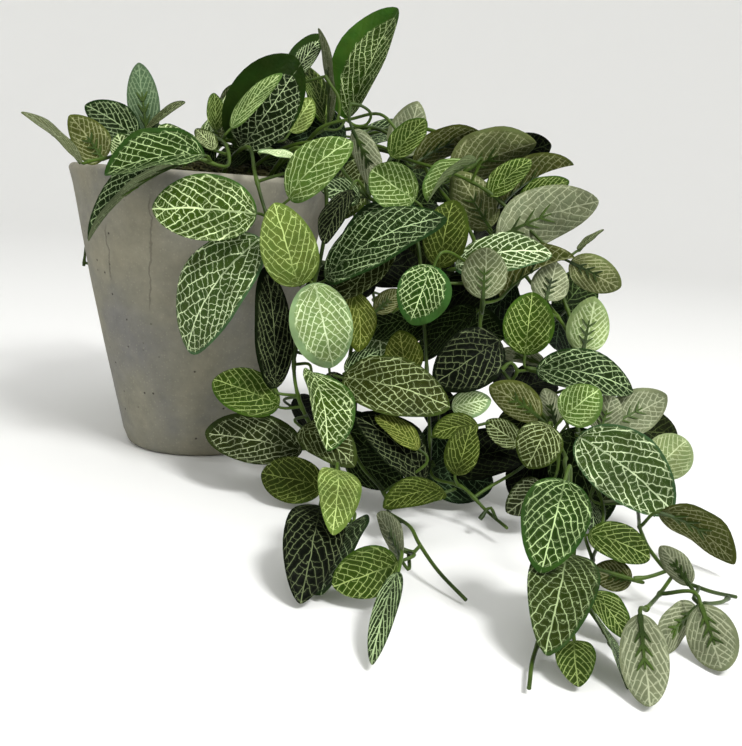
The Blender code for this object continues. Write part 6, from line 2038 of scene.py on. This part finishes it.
for socket_name, value in (("Fibre length", MOSS_HEIGHT * MM), ("Fibre radius", MOSS_FIBRE_RADIUS * MM),
                           ("Moss", moss_material)):
    modifier[moss_sockets[socket_name]] = value
moss = keep_result("moss_dressing", ground)
print("moss:", len(moss.data.polygons), "faces")

# %% [markdown]
# ## Floor, light and camera
#
# The photograph is a product shot on white. A wide paper sweep, round so that it looks the same from every
# side, gives the same plain pale ground without a horizon. Its open top lets an even sky in like a big
# ceiling lamp, and two soft lamps in front give the leaves their quiet shine and the shadows on the pot.

# %% Pale round sweep
SWEEP_RADIUS = 3.2
SWEEP_BEND = 1.4
SWEEP_HEIGHT = 3.0
SWEEP_SIDES = 96
sweep_bend = arc_points((SWEEP_RADIUS - SWEEP_BEND, SWEEP_BEND), SWEEP_BEND, -90.0, 0.0, 16)
sweep_profile = [(0.0, 0.0)] + sweep_bend + [(SWEEP_RADIUS, SWEEP_HEIGHT)]
sweep_profile = [(radius / MM, height / MM) for radius, height in sweep_profile]
sweep = turned_mesh("sweep", sweep_profile, SWEEP_SIDES, 0.0)
sweep.data.flip_normals()
paper, paper_tree, paper_shader = new_material("pale_paper")
fill(paper_tree, paper_shader, {"Base Color": linear("#f2f2f0"), "Roughness": 0.9})
sweep.data.materials.append(paper)
print("the sweep is", 2 * SWEEP_RADIUS, "m wide")

# %% Even sky and two soft lamps
SKY_STRENGTH = 0.82
LAMP_TARGET = (0.05, 0.0, 0.12)
LAMPS = (("key_lamp", (0.75, -1.0, 1.3), 0.4, 24.0), ("fill_lamp", (-1.2, -1.0, 1.4), 1.2, 1.5))
world = bpy.data.worlds.new("even_sky")
world.use_nodes = True
background = world.node_tree.nodes["Background"]
fill(world.node_tree, background, {"Color": linear("#ffffff"), "Strength": SKY_STRENGTH})
bpy.context.scene.world = world
bpy.context.scene.view_settings.view_transform = "Standard"
for lamp_name, lamp_place, lamp_size, lamp_power in LAMPS:
    lamp_data = bpy.data.lights.new(lamp_name, "AREA")
    lamp_data.size = lamp_size
    lamp_data.energy = lamp_power
    lamp = bpy.data.objects.new(lamp_name, lamp_data)
    lamp.location = lamp_place
    toward = Vector(LAMP_TARGET) - lamp.location
    lamp.rotation_euler = toward.to_track_quat("-Z", "Y").to_euler()
    linked(lamp)
print("lamps:", len(LAMPS))

# %% Camera at the photograph's viewpoint
camera_data = bpy.data.cameras.new("camera")
camera_data.sensor_fit = "HORIZONTAL"
camera_data.sensor_width = 36.0
camera_data.lens = camera_data.sensor_width * PHOTO_FOCAL / PHOTO_WIDTH
camera_data.clip_start = 0.01
camera = bpy.data.objects.new("camera", camera_data)
camera.matrix_world = (Matrix.Translation([value * MM for value in VIEW_POINT])
                       @ Matrix.Rotation(math.pi / 2 - VIEW_PITCH, 4, "X")
                       @ Matrix.Rotation(-VIEW_ROLL, 4, "Z"))
linked(camera)
bpy.context.scene.camera = camera
print("camera lens:", round(camera_data.lens, 1), "mm")

# %% [markdown]
# ## Put the pieces on the body
#
# Nothing here moves, so every piece rides on the one body. Each finer piece stands in for its plain solid,
# which is hidden.

# %% Ride and replace
for piece, node_name in leafy_pieces:
    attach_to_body(piece, "root")
    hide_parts(node_name)
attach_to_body(pot, "root")
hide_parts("pot")
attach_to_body(moss, "root")
